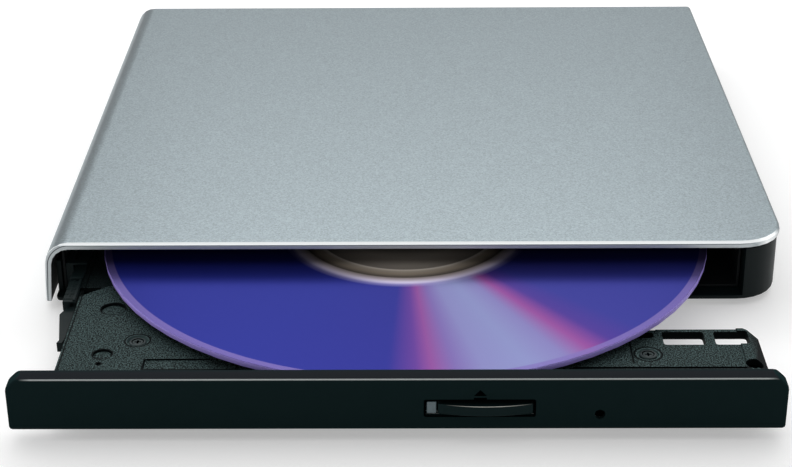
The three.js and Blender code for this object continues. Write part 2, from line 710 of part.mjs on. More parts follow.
function socketOutline(inset) {
  const bottom = socketZ() + inset;
  const top = socketZ() + socket.height - inset;
  const half = socket.width / 2 - inset;
  return [
    [socketX - half + socket.slope, bottom], [socketX + half - socket.slope, bottom],
    [socketX + half, bottom + socket.slope], [socketX + half, top, socket.corner],
    [socketX - half, top, socket.corner], [socketX - half, bottom + socket.slope],
  ];
}

function usbSocket() {
  const mouth = alongY(socketOutline(socket.wall), socketBack - socket.cavity, socketBack + overrun);
  const middle = socketZ() + socket.height / 2;
  const start = socketBack - socket.cavity + gap.fit;
  const tongue = block(
    socketX - socket.tongueWidth / 2, socketX + socket.tongueWidth / 2, start, start + socket.tongueLength,
    middle, middle + socket.tongueHeight,
  );
  const shape = alongY(socketOutline(0), socketBack - socket.depth, socketBack);
  return [
    piece('usb_socket', cut(shape, mouth), 'steel'),
    piece('usb_tongue', tongue, 'chip'),
  ];
}

// The flat cable leaves the back of the chassis, runs forward on its floor, folds over and
// comes back to the tray's connector. How far forward the fold lies follows from its length.
function flexCable() {
  const low = panTop + cable.lift;
  const bend = cable.rise / 2;
  const fixedEnd = rearConnectorFront - gap.fit;
  const trayEnd = trayConnectorBack - trayConnector.depth - gap.fit - travel.shown;
  const fold = (fixedEnd + trayEnd + Math.PI * bend - cable.length) / 2;
  const half = cable.width / 2;
  const ribbon = alongX([
    [fixedEnd, low], [fixedEnd, low + cable.thickness],
    [fold, low + cable.thickness, bend - cable.thickness],
    [fold, low + cable.rise - cable.thickness, bend - cable.thickness],
    [trayEnd, low + cable.rise - cable.thickness], [trayEnd, low + cable.rise],
    [fold - cable.thickness, low + cable.rise, bend], [fold - cable.thickness, low, bend],
  ], cableMiddle() - half, cableMiddle() + half);
  return piece('flex_cable', ribbon, 'cable');
}

// Tray

// The tray's plan, drawn in by an inset for the inside of its skirt
function trayPlan(inset) {
  const wingBack = tray.wingBack - inset;
  const sideRight = trayRight - inset;
  const backLeft = trayLeft + tray.notchWidth + inset;
  return [
    [trayLeft + inset, tray.front + inset],
    [sideRight, tray.front + inset],
    [sideRight, wingBack - tray.wingCorner],
    [sideRight - tray.wingCorner, wingBack],
    [wingInner - inset, wingBack, tray.wingRound],
    [wingInner - inset, trayBack - inset, tray.wingRound],
    [backLeft, trayBack - inset, tray.wingRound],
    [backLeft, tray.notchBack],
    [trayLeft + inset, tray.notchFront],
  ];
}

function turnedAboutSpindle(form) {
  return form.rotateZ(THREE.MathUtils.degToRad(traverse.turn)).translate(disc.x, discY, 0);
}

const trayScrewPlaces = [
  { name: 'left', x: trayLeft + trayScrew.leftInset, y: trayScrew.leftY },
  { name: 'right', x: trayRight - trayScrew.rightInset, y: trayScrew.rightY },
];
const windowPlaces = windows.map(({ fromRight, width, front, back }) => ({
  left: trayRight - fromRight - width, right: trayRight - fromRight, front, back,
}));

function trayRecesses() {
  const above = trayTop + overrun;
  const dish = drum(disc.x, discY, disc.radius - tray.dishInset, trayTop - tray.dishDepth, above);
  const lineRight = trayRight - stepLine.fromRight;
  const line = block(
    lineRight - stepLine.length, lineRight, stepLine.y, stepLine.y + stepLine.width,
    trayTop - stepLine.depth, above,
  );
  const panelRight = trayRight - wingPanel.fromRight;
  const panel = prism(
    rectangle(
      panelRight - wingPanel.width, panelRight, wingPanel.front, tray.wingBack + overrun, wingPanel.corner,
    ),
    trayTop - wingPanel.depth, above,
  );
  const stripLeft = trayLeft + frontPanel.fromLeft;
  const strip = prism(
    rectangle(stripLeft, stripLeft + frontPanel.width, frontPanel.front, frontPanel.back, frontPanel.corner),
    trayTop - frontPanel.depth, above,
  );
  const marks = roundMarks.map(({ fromLeft, y, radius, depth }) => drum(
    trayLeft + fromLeft, y, radius, trayTop - depth, above,
  ));
  const screws = trayScrewPlaces.flatMap(({ x, y }) => [
    drum(x, y, trayScrew.recess, trayTop - trayScrew.recessDepth, above),
    drum(x, y, trayScrew.bore, 0, above),
  ]);
  return [dish, line, panel, strip, ...marks, ...screws];
}

function trayOpenings() {
  const above = trayTop + overrun;
  const spindleWindow = turnedAboutSpindle(prism(trayWindow, 0, above));
  const through = windowPlaces.map((w) => prism(
    rectangle(w.left, w.right, w.front, w.back, windowRim.radius), 0, above,
  ));
  const corner = drum(trayRight - cornerHole.fromRight, cornerHole.y, cornerHole.radius, 0, above);
  const slope = alongY([
    [trayRight + overrun, above],
    [trayRight - tray.edgeSlope, above],
    [trayRight - tray.edgeSlope, trayTop],
    [trayRight, trayTop - tray.edgeDrop],
    [trayRight + overrun, trayTop - tray.edgeDrop],
  ], 0, tray.wingBack + overrun);
  const channel = block(
    channelLeft, channelRight, tray.channelFront, trayBack + overrun, 0, plateBottom - gap.seat,
  );
  const stemGap = block(
    button.stemLeft - overrun, button.stemLeft + button.stemWidth + overrun,
    tray.front - overrun, tray.front + tray.skirtWall + gap.fit, 0, plateBottom,
  );
  const pinGap = block(
    bezel.pinX - bezel.pinRadius, bezel.pinX + bezel.pinRadius,
    tray.front - overrun, tray.front + tray.skirtWall + gap.fit, 0, plateBottom,
  );
  return [spindleWindow, ...through, corner, slope, channel, stemGap, pinGap];
}

function trayPiece() {
  const plate = prism(trayPlan(0), plateBottom, trayTop);
  const skirt = prism(trayPlan(0), skirtBottom, plateBottom + gap.seat, [trayPlan(tray.skirtWall)]);
  const rimBottom = trayTop - windowRim.depth;
  const underWindows = block(
    windowPlaces[0].left - windowRim.margin, trayRight + overrun,
    windowPlaces[1].front - windowRim.margin, tray.wingBack + overrun, 0, rimBottom,
  );
  const rims = windowPlaces.map((w) => prism(
    rectangle(
      w.left - windowRim.margin, w.right + windowRim.margin,
      w.front - windowRim.margin, Math.min(w.back + windowRim.margin, tray.wingBack),
    ), rimBottom, plateBottom + gap.seat,
  ));
  const ledgeTop = trayTop - tray.ledgeDrop;
  const ledge = block(
    trayLeft, trayLeft + tray.notchWidth + gap.fit, tray.notchBack, trayBack,
    ledgeTop - tray.ledge, ledgeTop,
  );
  const tongueTop = trayTop - tray.tongueDrop;
  const tongueLeft = railRight - rail.groove + gap.slide;
  const leftTongue = block(
    tongueLeft, trayLeft + gap.fit, tray.notchBack, trayBack, tongueTop - tray.tongueThickness, tongueTop,
  );
  const rightTongue = block(
    wingInner - gap.fit, rightRailLeft() + rail.groove - gap.slide,
    rightRail.front + overrun, trayBack, tongueTop - tray.tongueThickness, tongueTop,
  );
  const bosses = trayScrewPlaces.map(({ x, y }) => drum(
    x, y, trayScrew.boss, skirtBottom, plateBottom + gap.seat,
  ));
  const hookTop = trayTop - tray.hookDrop;
  const hooks = bezelHooks().map((x) => block(
    x, x + tray.hookWidth, tray.front - tray.hookReach, tray.front + gap.fit,
    hookTop - tray.hookHeight, hookTop,
  ));
  const pins = damper.places.map(({ u, v }) => turnedAboutSpindle(
    drum(u, v, damper.pin, skirtBottom, plateBottom + gap.seat),
  ));
  const pivot = drum(pivotX, lock.pivotY, lock.pin, skirtBottom, plateBottom + gap.seat);
  const solidTray = join(
    cut(join(plate, skirt), underWindows),
    ...rims, ledge, leftTongue, rightTongue, ...bosses, ...hooks, pivot, ...pins,
  );
  return piece('tray', cut(solidTray, ...trayRecesses(), ...trayOpenings()), 'trayGrey');
}

function bezelHooks() {
  const inset = bezel.rim + tray.hookWidth;
  const start = trayLeft + inset;
  const end = trayRight - inset - tray.hookWidth;
  return tray.hookShares.map((share) => start + (end - start) * share);
}

function trayBottomCover() {
  const edge = tray.skirtWall + cover.inset;
  const backLeft = trayLeft + tray.notchWidth + edge;
  const wingSide = wingInner + cover.overWing;
  const step = rightRail.front - cover.stepGap;
  const channelSide = channelLeft - cover.channelGap;
  const plate = prism([
    [backLeft, cover.front, cover.corner],
    [wingSide, cover.front, cover.corner],
    [wingSide, step, cover.corner],
    [channelSide, step, cover.corner],
    [channelSide, trayBack - edge, cover.corner],
    [backLeft, trayBack - edge, cover.corner],
  ], coverBottom, coverBottom + cover.sheet);
  const holes = trayScrewPlaces.map(({ x, y }) => drum(x, y, trayScrew.bore, 0, trayTop));
  return piece('tray_bottom_cover', cut(plate, ...holes), 'sheet');
}

function trayScrews() {
  const top = trayTop - trayScrew.recessDepth + gap.seat + trayScrew.headHeight;
  const headBottom = top - trayScrew.headHeight;
  return trayScrewPlaces.map(({ name, x, y }) => piece(`tray_screw_${name}`, turned([
    [0, coverBottom],
    [trayScrew.shank, coverBottom],
    [trayScrew.shank, headBottom],
    [trayScrew.head, headBottom],
    [trayScrew.head, top],
    [trayScrew.socket, top],
    [0, headBottom + gap.seat],
  ], x, y), 'blackScrew'));
}

// Drawer front, button and indicator

const bezelLeft = caseLeft + bezel.sideGap;
const bezelRight = postLeft - bezel.postGap;
const bezelBottom = floorTop + bezel.lift;
const bezelTop = lidUnder - bezel.topGap;

function bezelOutline(inset) {
  const low = bezel.lowCorner;
  const high = bezel.highCorner;
  return [
    [bezelLeft + inset, bezelBottom + inset, low],
    [bezelRight - inset, bezelBottom + inset, low],
    [bezelRight - inset, bezelTop - bezel.chamferHeight, high],
    [bezelRight - inset - bezel.chamferWidth, bezelTop - inset, high],
    [bezelLeft + inset + bezel.chamferWidth, bezelTop - inset, high],
    [bezelLeft + inset, bezelTop - bezel.chamferHeight, high],
  ];
}

function bezelPiece() {
  const face = new THREE.ExtrudeGeometry(outline(bezelOutline(0)), {
    depth: bezel.depth,
    bevelThickness: bezel.edge,
    bevelSize: bezel.edge,
    bevelOffset: -bezel.edge,
    bevelSegments: 3,
  });
  turnAxes(face, axisX, axisZ, axisY.clone().negate()).translate(0, bezel.depth + bezel.edge, 0);
  const squareBack = block(left, right, bezel.depth, bezel.depth + overrun, 0, body.height);
  const pocket = alongY(bezelOutline(bezel.rim), bezel.face, bezel.depth + overrun);
  const ribs = bezel.ribs.map((x) => block(
    x, x + bezel.ribWidth, bezel.face - gap.fit, bezel.depth - gap.seat,
    bezelBottom + bezel.rim - gap.fit, bezelTop - bezel.rim + gap.fit,
  ));
  const slot = block(
    bezel.slotLeft, bezel.slotRight, -overrun, bezel.face + overrun, bezel.slotBottom, bezel.slotTop,
  );
  const pinHole = barAlongY(bezel.pinX, bezel.pinZ, bezel.pinRadius, -overrun, bezel.face + overrun);
  const hollow = join(cut(face, squareBack, pocket), ...ribs);
  return piece('bezel', cut(hollow, slot, pinHole), 'black');
}

function indicatorWindow() {
  const start = bezel.slotLeft + indicator.margin;
  return piece('indicator_window', block(
    start, start + indicator.width, indicator.recess, bezel.depth,
    bezel.slotBottom + indicator.heightMargin, bezel.slotTop - indicator.heightMargin,
  ), 'indicator');
}

// The button's front bows forward, and a flange behind the drawer front holds it in
function ejectButton() {
  const start = bezel.slotLeft + indicator.margin + indicator.width + button.gap;
  const end = bezel.slotRight - button.gap;
  const middle = (start + end) / 2;
  const half = (end - start) / 2;
  const radius = (half * half + button.bow * button.bow) / (2 * button.bow);
  const spread = Math.asin(half / radius);
  const steps = stepsPerQuarter(radius);
  const bowed = Array.from({ length: steps + 1 }, (_, step) => {
    const angle = spread * (2 * step / steps - 1);
    return [middle + radius * Math.sin(angle), radius - button.bow - radius * Math.cos(angle)];
  });
  const flangeFront = bezel.face + gap.fit;
  const flangeBack = flangeFront + button.flange;
  const front = prism(
    [...bowed, [end, flangeFront + gap.fit], [start, flangeFront + gap.fit]], button.bottom, button.top,
  );
  const flangeBottom = bezel.slotBottom - button.flangeReach;
  const flange = block(
    start, end + button.flangeReach, flangeFront, flangeBack, flangeBottom, bezel.slotTop + button.flange,
  );
  const stem = block(
    button.stemLeft, button.stemLeft + button.stemWidth, flangeFront, flangeBack + button.stemLength,
    flangeBottom, flangeBottom + button.stemHeight,
  );
  return piece('eject_button', join(front, flange, stem), 'black');
}

// Boards under the tray

function trayBoards() {
  const front = prism(
    rectangle(frontBoard.left, frontBoard.right, frontBoard.front, frontBoard.back, frontBoard.corner),
    boardBottom, boardTop,
  );
  const partTop = boardBottom - gap.seat;
  const switchX = button.stemLeft + button.stemWidth / 2;
  const switchFront = frontBoard.front + ejectSwitch.plunger;
  const switchForm = join(
    block(
      switchX - ejectSwitch.width / 2, switchX + ejectSwitch.width / 2,
      switchFront, switchFront + ejectSwitch.depth,
      partTop - ejectSwitch.height, partTop,
    ),
    block(
      switchX - ejectSwitch.plungerWidth / 2, switchX + ejectSwitch.plungerWidth / 2,
      switchFront - ejectSwitch.plunger, switchFront + gap.fit,
      partTop - ejectSwitch.height * 3 / 4, partTop - ejectSwitch.height / 4,
    ),
  );
  const mainLeft = trayLeft + mainBoard.fromLeft;
  const mainRight = channelRight - mainBoard.rightInset;
  const tailLeft = channelLeft + mainBoard.tailInset;
  const main = prism([
    [mainLeft, mainBoard.front, mainBoard.corner],
    [mainRight, mainBoard.front, mainBoard.corner],
    [mainRight, mainBoardBack, mainBoard.corner],
    [tailLeft, mainBoardBack, mainBoard.corner],
    [tailLeft, mainBoard.back, mainBoard.corner],
    [mainLeft, mainBoard.back, mainBoard.corner],
  ], boardBottom, boardTop);
  const half = chip.size / 2;
  const mainChip = prism(
    rectangle(chip.x - half, chip.x + half, chip.y - half, chip.y + half, chip.corner),
    partTop - chip.height, partTop,
  );
  const memory = prism(
    rectangle(
      memoryChip.x, memoryChip.x + memoryChip.width,
      chip.y - memoryChip.depth / 2, chip.y + memoryChip.depth / 2, chip.corner,
    ), partTop - chip.height, partTop,
  );
  const connector = block(
    cableMiddle() - trayConnector.width / 2, cableMiddle() + trayConnector.width / 2,
    trayConnectorBack - trayConnector.depth, trayConnectorBack, partTop - trayConnector.height, partTop,
  );
  return [
    piece('front_board', front, 'board'),
    piece('eject_switch', switchForm, 'chip'),
    piece('main_board', main, 'board'),
    piece('main_chip', mainChip, 'chip'),
    piece('memory_chip', memory, 'chip'),
    piece('tray_cable_connector', connector, 'palePlastic'),
  ];
}

// Lock

const leverBottom = skirtBottom + lock.lift - gap.seat;

function lockLever() {
  const top = leverBottom + lock.thickness;
  const halfArm = lock.armWidth / 2;
  const ring = drum(0, 0, lock.hub, leverBottom, top);
  const arm = block(-halfArm, halfArm, 0, lock.armReach, leverBottom, top);
  const barb = prism([
    [-halfArm - lock.barb, lock.armReach - lock.barbThickness],
    [halfArm, lock.armReach - lock.barbThickness],
    [halfArm, lock.armReach],
    [-halfArm - lock.barb / 2, lock.armReach],
  ], leverBottom, top);
  const tail = block(-lock.tailReach, 0, -lock.tailDrop, lock.tailWidth - lock.tailDrop, leverBottom, top);
  const bore = drum(0, 0, lock.bore, 0, trayTop);
  return piece('lock_lever', cut(join(ring, arm, barb, tail), bore), 'steel');
}

function lockSolenoid() {
  const bottom = boardTop - solenoid.height;
  const middle = (solenoid.front + solenoid.back) / 2;
  const coilRight = pivotX - solenoid.pivotGap;
  const coil = prism(
    rectangle(coilRight - solenoid.width, coilRight, solenoid.front, solenoid.back, solenoid.corner),
    bottom, boardTop,
  );
  const core = block(
    coilRight - gap.fit, coilRight + solenoid.coreLength,
    middle, middle + solenoid.core, bottom + solenoid.core / 2, boardTop - solenoid.core / 2,
  );
  return piece('lock_solenoid', join(coil, core), 'steel');
}

// Rails

function rightRailLeft() {
  return wingInner + rightRail.gap;
}

function leftRail() {
  const top = rail.bottom + rail.height;
  const bar = block(railLeft, railRight, rail.bodyFront, railBack, rail.bottom, top);
  const tongue = prism([
    [railRight, rail.bodyFront + gap.fit],
    [railLeft, rail.bodyFront + gap.fit],
    [railLeft + rail.tongueWaist, rail.bodyFront],
    [railLeft - rail.bulge, rail.bulgeY],
    [railRight - rail.tipWidth, rail.front + rail.tipWidth],
    [railRight - rail.tipEnd, rail.front],
    [railRight - rail.tipCut, rail.front],
    [railRight, rail.front + rail.tipSlope],
  ], rail.bottom, rail.bottom + rail.tongueHeight);
  const ribs = Array.from({ length: rail.padRibs }, (_, index) => {
    const y = rail.bodyFront + rail.padPitch * (index + 1 / 2);
    return block(railLeft, railRight, y, y + rail.padRib, top - gap.seat, top + rail.padHeight);
  });
  const slots = [
    block(
      railRight - rail.groove, railRight + overrun, 0, railBack + overrun,
      rail.innerSlot, rail.innerSlot + rail.slotHeight,
    ),
    block(
      railLeft - overrun, railLeft + rail.groove, 0, railBack + overrun,
      rail.outerSlot, rail.outerSlot + rail.slotHeight,
    ),
  ];
  return piece('left_rail', cut(join(bar, tongue, ...ribs), ...slots), 'black');
}

function rightRailPiece() {
  const start = rightRailLeft();
  const end = start + rail.width;
  const back = trayBack - rightRail.backGap;
  const bar = block(start, end, rightRail.front, back, rail.bottom, rail.bottom + rail.height);
  const slots = [
    block(
      start - overrun, start + rail.groove, 0, back + overrun,
      rail.innerSlot, rail.innerSlot + rail.slotHeight,
    ),
    block(
      end - rail.groove, end + overrun, 0, back + overrun,
      rail.outerSlot, rail.outerSlot + rail.slotHeight,
    ),
  ];
  return piece('right_rail', cut(bar, ...slots), 'black');
}

// Traverse and spindle motor

function traverseBase() {
  const ears = damper.places.map(({ u, v }) => drum(u, v, damper.ear, traverseBottom, traverseTop));
  const plate = join(prism(traverseOutline, traverseBottom, traverseTop), ...ears);
  const postTop = traverseTop + traverse.postHeight;
  const ends = [[traverse.postStart, traverse.postInner], [traverse.postOuter, traverse.postEnd]];
  const posts = ends.flatMap(([from, to]) => [-traverse.rodSpread, traverse.rodSpread].map((v) => block(
    from, to, v - traverse.post, v + traverse.post, traverseTop - gap.seat, postTop,
  )));
  const screwPost = block(
    traverse.postStart, traverse.postInner, -traverse.screwSpread - traverse.post, -traverse.rodSpread,
    traverseTop - gap.seat, postTop,
  );
  const rods = [-traverse.rodSpread, traverse.rodSpread].map((v) => barAlongX(
    v, rodZ, traverse.rodRadius + gap.fit, traverse.rodStart - gap.fit, traverse.rodEnd + gap.fit,
  ));
  const screwBore = barAlongX(
    -traverse.screwSpread, rodZ, traverse.screwRadius + gap.fit,
    traverse.screwStart - gap.fit, traverse.screwEnd,
  );
  const opening = prism(rectangle(
    traverse.openingStart, traverse.openingEnd, -traverse.openingHalf, traverse.openingHalf,
    traverse.openingCorner,
  ), 0, trayTop);
  const bushHoles = damper.places.map(({ u, v }) => drum(u, v, damper.hole, 0, trayTop));
  const solidBase = join(plate, ...posts, screwPost);
  return piece('traverse_base', cut(solidBase, ...rods, screwBore, opening, ...bushHoles), 'sheet');
}

function damperBushes() {
  const bottom = skirtBottom + gap.seat;
  const flangeBottom = traverseTop + gap.seat;
  return damper.places.map(({ u, v }, index) => piece(`damper_bush_${index + 1}`, turned([
    [damper.bore, bottom],
    [damper.outer, bottom],
    [damper.outer, flangeBottom],
    [damper.flange, flangeBottom],
    [damper.flange, flangeBottom + damper.flangeHeight],
    [damper.bore, flangeBottom + damper.flangeHeight],
  ], u, v), 'rubber'));
}

function spindleMotor() {
  const bottom = traverseTop + gap.seat;
  const flangeTop = bottom + motor.flangeThickness;
  return piece('spindle_motor', turned([
    [motor.tubeBore, bottom],
    [motor.flange, bottom],
    [motor.flange, flangeTop],
    [motor.stator, flangeTop],
    [motor.stator, flangeTop + motor.statorHeight],
    [motor.statorCore, flangeTop + motor.statorHeight],
    [motor.statorCore, flangeTop],
    [motor.tube, flangeTop],
    [motor.tube, flangeTop + motor.tubeHeight],
    [motor.tubeBore, flangeTop + motor.tubeHeight],
  ]), 'sheet');
}

function guideRods() {
  const rods = [['left', traverse.rodSpread], ['right', -traverse.rodSpread]];
  return rods.map(([side, spread]) => piece(`guide_rod_${side}`, barAlongX(
    spread, rodZ, traverse.rodRadius, traverse.rodStart, traverse.rodEnd,
  ), 'steel'));
}

function sledMotor() {
  return piece('sled_motor', barAlongX(
    -traverse.screwSpread, rodZ, traverse.motorRadius, traverse.motorStart, traverse.motorEnd,
  ), 'steel');
}

function leadScrew() {
  return piece('lead_screw', barAlongX(
    0, 0, traverse.screwRadius, traverse.screwStart, traverse.screwEnd,
  ), 'steel');
}

// Spindle: turntable, hub, rubber ring and disc

const turntableTop = discBottom - turntable.ringHeight - gap.seat;

function turntablePiece() {
  const plateBottomZ = turntableTop - turntable.plate;
  return piece('turntable', turned([
    [0, plateBottomZ - turntable.shaftDrop],
    [turntable.shaft, plateBottomZ - turntable.shaftDrop],
    [turntable.shaft, plateBottomZ],
    [turntable.radius - turntable.skirt, plateBottomZ],
    [turntable.radius - turntable.skirt, turntableTop - turntable.skirtDrop],
    [turntable.radius, turntableTop - turntable.skirtDrop],
    [turntable.radius, turntableTop],
    [0, turntableTop],
  ]), 'sheet');
}

function hubPiece() {
  const bottom = turntableTop + gap.seat;
  const top = bottom + hub.height;
  const core = turned([
    [0, bottom],
    [hub.radius, bottom],
    [hub.radius, top - hub.bevel],
    [hub.radius - hub.bevel, top],
    [hub.recess, top],
    [hub.recess, top - hub.recessDepth],
    [0, top - hub.recessDepth],
  ]);
  const clawBottom = discTop + gap.seat;
  const claws = Array.from({ length: hub.claws }, (_, index) => {
    const claw = block(
      hub.radius - hub.bevel * 2, hub.claw, -hub.clawWidth / 2, hub.clawWidth / 2,
      clawBottom, clawBottom + hub.clawHeight,
    );
    return claw.rotateZ(index * 2 * Math.PI / hub.claws);
  });
  return piece('spindle_hub', join(core, ...claws), 'chip');
}

function turntableRing() {
  const bottom = turntableTop + gap.seat / 2;
  const outer = turntable.radius - gap.seat;
  return piece('turntable_ring', turned([
    [outer - turntable.ringWidth, bottom],
    [outer, bottom],
    [outer, bottom + turntable.ringHeight],
    [outer - turntable.ringWidth, bottom + turntable.ringHeight],
  ]), 'rubber');
}

function discPiece() {
  return piece('disc', turned([
    [disc.bore, discBottom],
    [disc.ringRadius, discBottom],
    [disc.ringRadius, discBottom - disc.ringDrop],
    [disc.ringRadius + disc.ringWidth, discBottom - disc.ringDrop],
    [disc.ringRadius + disc.ringWidth, discBottom],
    [disc.radius - disc.edge, discBottom],
    [disc.radius, discBottom + disc.edge],
    [disc.radius, discTop - disc.edge],
    [disc.radius - disc.edge, discTop],
    [disc.bore, discTop],
  ]), 'disc');
}

// Pickup, about its lens, with +X away from the spindle

function pickupBody() {
  const top = pickupBottom + pickup.height;
  const core = block(pickup.inner, pickup.outer, -pickup.half, pickup.half, pickupBottom, top);
  const lugBottom = traverseTop + pickup.lugLift;
  const lugTop = lugBottom + pickup.lugHeight;
  const lug = block(
    pickup.lugInner, pickup.lugOuter, -traverse.rodSpread - pickup.lugReach, -pickup.half + gap.fit,
    lugBottom, lugTop,
  );
  const fork = block(
    pickup.forkInner, pickup.lugOuter, pickup.half - gap.fit, traverse.rodSpread + pickup.lugReach / 2,
    lugBottom, lugTop,
  );
  const bore = barAlongX(
    -traverse.rodSpread, rodZ, pickup.bore, pickup.lugInner - overrun, pickup.lugOuter + overrun,
  );
  const slot = block(
    pickup.forkInner - overrun, pickup.lugOuter + overrun,
    traverse.rodSpread - pickup.bore - gap.fit, traverse.rodSpread + pickup.lugReach,
    rodZ - pickup.bore, rodZ + pickup.bore,
  );
  const well = block(
    -pickup.well, pickup.well, -pickup.wellHalf, pickup.wellHalf, top - pickup.wellDepth, top + overrun,
  );
  return piece('pickup_body', cut(join(core, lug, fork), bore, slot, well), 'blackScrew');
}

function pickupCover() {
  const bottom = pickupBottom + pickup.height + gap.seat;
  const edge = pickup.coverInset;
  const half = pickup.half - edge;
  const plan = rectangle(pickup.inner + edge, pickup.outer - edge, -half, half, edge);
  const opening = rectangle(
    -pickup.coverOpening, pickup.coverOpening, -pickup.coverHalf, pickup.coverHalf, edge,
  );
  const sheet = prism(plan, bottom, bottom + pickup.coverSheet, [opening.reverse()]);
  return piece('pickup_cover', sheet, 'sheet');
}

function sledNut() {
  const bottom = rodZ + nut.lift;
  const near = -traverse.rodSpread - pickup.lugReach - gap.fit;
  const shape = block(nut.inner, nut.outer, near - nut.width, near, bottom, bottom + nut.height);
  const groove = barAlongX(-traverse.screwSpread, rodZ, nut.bore, nut.inner - overrun, nut.outer + overrun);
  return piece('sled_nut', cut(shape, groove), 'palePlastic');
}

const holderTop = pickupBottom + pickup.height + lens.top;

function lensHolder() {
  const bottom = holderTop - lens.holderHeight;
  const core = prism(
    rectangle(-lens.holderHalf, lens.holderHalf, -lens.holderWidth, lens.holderWidth, pickup.coverInset),
    bottom, holderTop,
  );
  const seatZ = holderTop - lens.seatHeight;
  return piece('lens_holder', cut(
    core,
    drum(0, 0, lens.seatRadius, 0, body.height),
    drum(0, 0, lens.radius + gap.fit, seatZ, body.height),
  ), 'chip');
}

function objectiveLens() {
  const bottom = holderTop - lens.seatHeight + gap.seat;
  const top = bottom + lens.height;
  return piece('objective_lens', turned([
    [0, bottom],
    [lens.radius, bottom],
    [lens.radius, top - lens.dome],
    [lens.radius * 2 / 3, top - lens.dome / 3],
    [0, top],
  ]), 'lens');
}

// Assembly

function group(...children) {
  const holder = new THREE.Group();
  holder.add(...children);
  return holder;
}

const lensGroup = group(lensHolder(), objectiveLens());
const sledGroup = group(pickupBody(), pickupCover(), sledNut(), lensGroup);
sledGroup.position.x = traverse.startRadius;
const screwGroup = group(leadScrew());
screwGroup.position.set(0, -traverse.screwSpread, rodZ);
const spindleGroup = group(turntablePiece(), hubPiece(), turntableRing(), discPiece());
const traverseGroup = group(
  traverseBase(), ...damperBushes(), spindleMotor(), ...guideRods(), sledMotor(),
  sledGroup, screwGroup, spindleGroup,
);
traverseGroup.rotation.z = THREE.MathUtils.degToRad(traverse.turn);
traverseGroup.position.set(disc.x, discY, 0);

const leverGroup = group(lockLever());
leverGroup.position.set(pivotX, lock.pivotY, 0);
leverGroup.rotation.z = THREE.MathUtils.degToRad(-lock.release);

const trayGroup = group(
  trayPiece(), trayBottomCover(), ...trayScrews(), bezelPiece(), indicatorWindow(), ejectButton(),
  ...trayBoards(), lockSolenoid(), leverGroup, traverseGroup,
);
trayGroup.position.y = -travel.shown;

const railGroup = group(leftRail(), rightRailPiece());
railGroup.position.y = -travel.shown * travel.railShare;

const drive = group(
  topCover(), bottomCase(), ...feet(), ...caseScrews(), driveChassis(), topShield(),
  leftRailGuide(), rightRailGuide(), lockPost(), ...rearBoards(), ...usbSocket(), flexCable(),
  railGroup, trayGroup,
);
drive.position.y = -middleY;

const part = group(drive);
part.updateMatrixWorld(true);

export default part;
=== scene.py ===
"""Looks and small details for a slim external disc drive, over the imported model.

Blender's lengths are metres. The detail pieces are drawn in millimetres, and MM turns them into metres.
"""

import itertools
import math

import bmesh
import bpy
from mathutils import Matrix, Vector


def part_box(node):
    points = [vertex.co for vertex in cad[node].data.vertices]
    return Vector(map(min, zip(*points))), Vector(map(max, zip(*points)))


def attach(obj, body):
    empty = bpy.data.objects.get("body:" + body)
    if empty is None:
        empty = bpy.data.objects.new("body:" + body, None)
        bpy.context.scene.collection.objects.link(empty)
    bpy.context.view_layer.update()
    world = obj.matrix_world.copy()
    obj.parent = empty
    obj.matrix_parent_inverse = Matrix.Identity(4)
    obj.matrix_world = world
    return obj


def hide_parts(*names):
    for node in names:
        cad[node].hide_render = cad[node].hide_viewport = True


MM = 0.001
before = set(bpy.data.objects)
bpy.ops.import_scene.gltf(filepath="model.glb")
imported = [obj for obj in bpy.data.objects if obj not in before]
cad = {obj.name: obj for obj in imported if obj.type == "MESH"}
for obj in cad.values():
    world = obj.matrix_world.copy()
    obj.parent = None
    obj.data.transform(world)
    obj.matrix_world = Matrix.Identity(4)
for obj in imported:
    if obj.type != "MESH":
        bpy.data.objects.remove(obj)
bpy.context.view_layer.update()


# Camera, at the photograph's place, in millimetres, radians and pixels

CAMERA = {
    "place": (0.264, -359.006, 170.825),
    "pitch": 0.4577,
    "yaw": 0.0111,
    "roll": 0.0078,
    "focal_pixels": 1827.29,
    "width_pixels": 792,
    "axis_below_middle": 1.44,
    "near": 10,
    "far": 20000,
}


def add_camera():
    pitch_cos, pitch_sin = math.cos(CAMERA["pitch"]), math.sin(CAMERA["pitch"])
    yaw_cos, yaw_sin = math.cos(CAMERA["yaw"]), math.sin(CAMERA["yaw"])
    roll_cos, roll_sin = math.cos(CAMERA["roll"]), math.sin(CAMERA["roll"])
    level_right = Vector((yaw_cos, yaw_sin, 0))
    level_up = Vector((-yaw_sin * pitch_sin, yaw_cos * pitch_sin, pitch_cos))
    forward = Vector((-yaw_sin * pitch_cos, yaw_cos * pitch_cos, -pitch_sin))
    right = level_right * roll_cos - level_up * roll_sin
    up = level_right * roll_sin + level_up * roll_cos
    data = bpy.data.cameras.new("camera")
    data.lens = data.sensor_width * CAMERA["focal_pixels"] / CAMERA["width_pixels"]
    data.shift_y = CAMERA["axis_below_middle"] / CAMERA["width_pixels"]
    data.clip_start = CAMERA["near"] * MM
    data.clip_end = CAMERA["far"] * MM
    camera = bpy.data.objects.new("camera", data)
    turned = Matrix((right, up, -forward)).transposed().to_4x4()
    camera.matrix_world = Matrix.Translation(Vector(CAMERA["place"]) * MM) @ turned
    bpy.context.collection.objects.link(camera)
    bpy.context.scene.camera = camera


# Materials, built from nodes in each object's own space. Sizes and depths of grain are in millimetres.


def srgb(red, green, blue):
    """A colour as it is seen on a screen, 0 to 255, in Blender's linear values."""
    shares = [channel / 255 for channel in (red, green, blue)]
    linear = [s / 12.92 if s <= 0.04045 else ((s + 0.055) / 1.055) ** 2.4 for s in shares]
    return (*linear, 1)


def grey(tone):
    return (tone, tone, tone, 1)


def shade(color, factor):
    return (*[channel * factor for channel in color[:3]], 1)


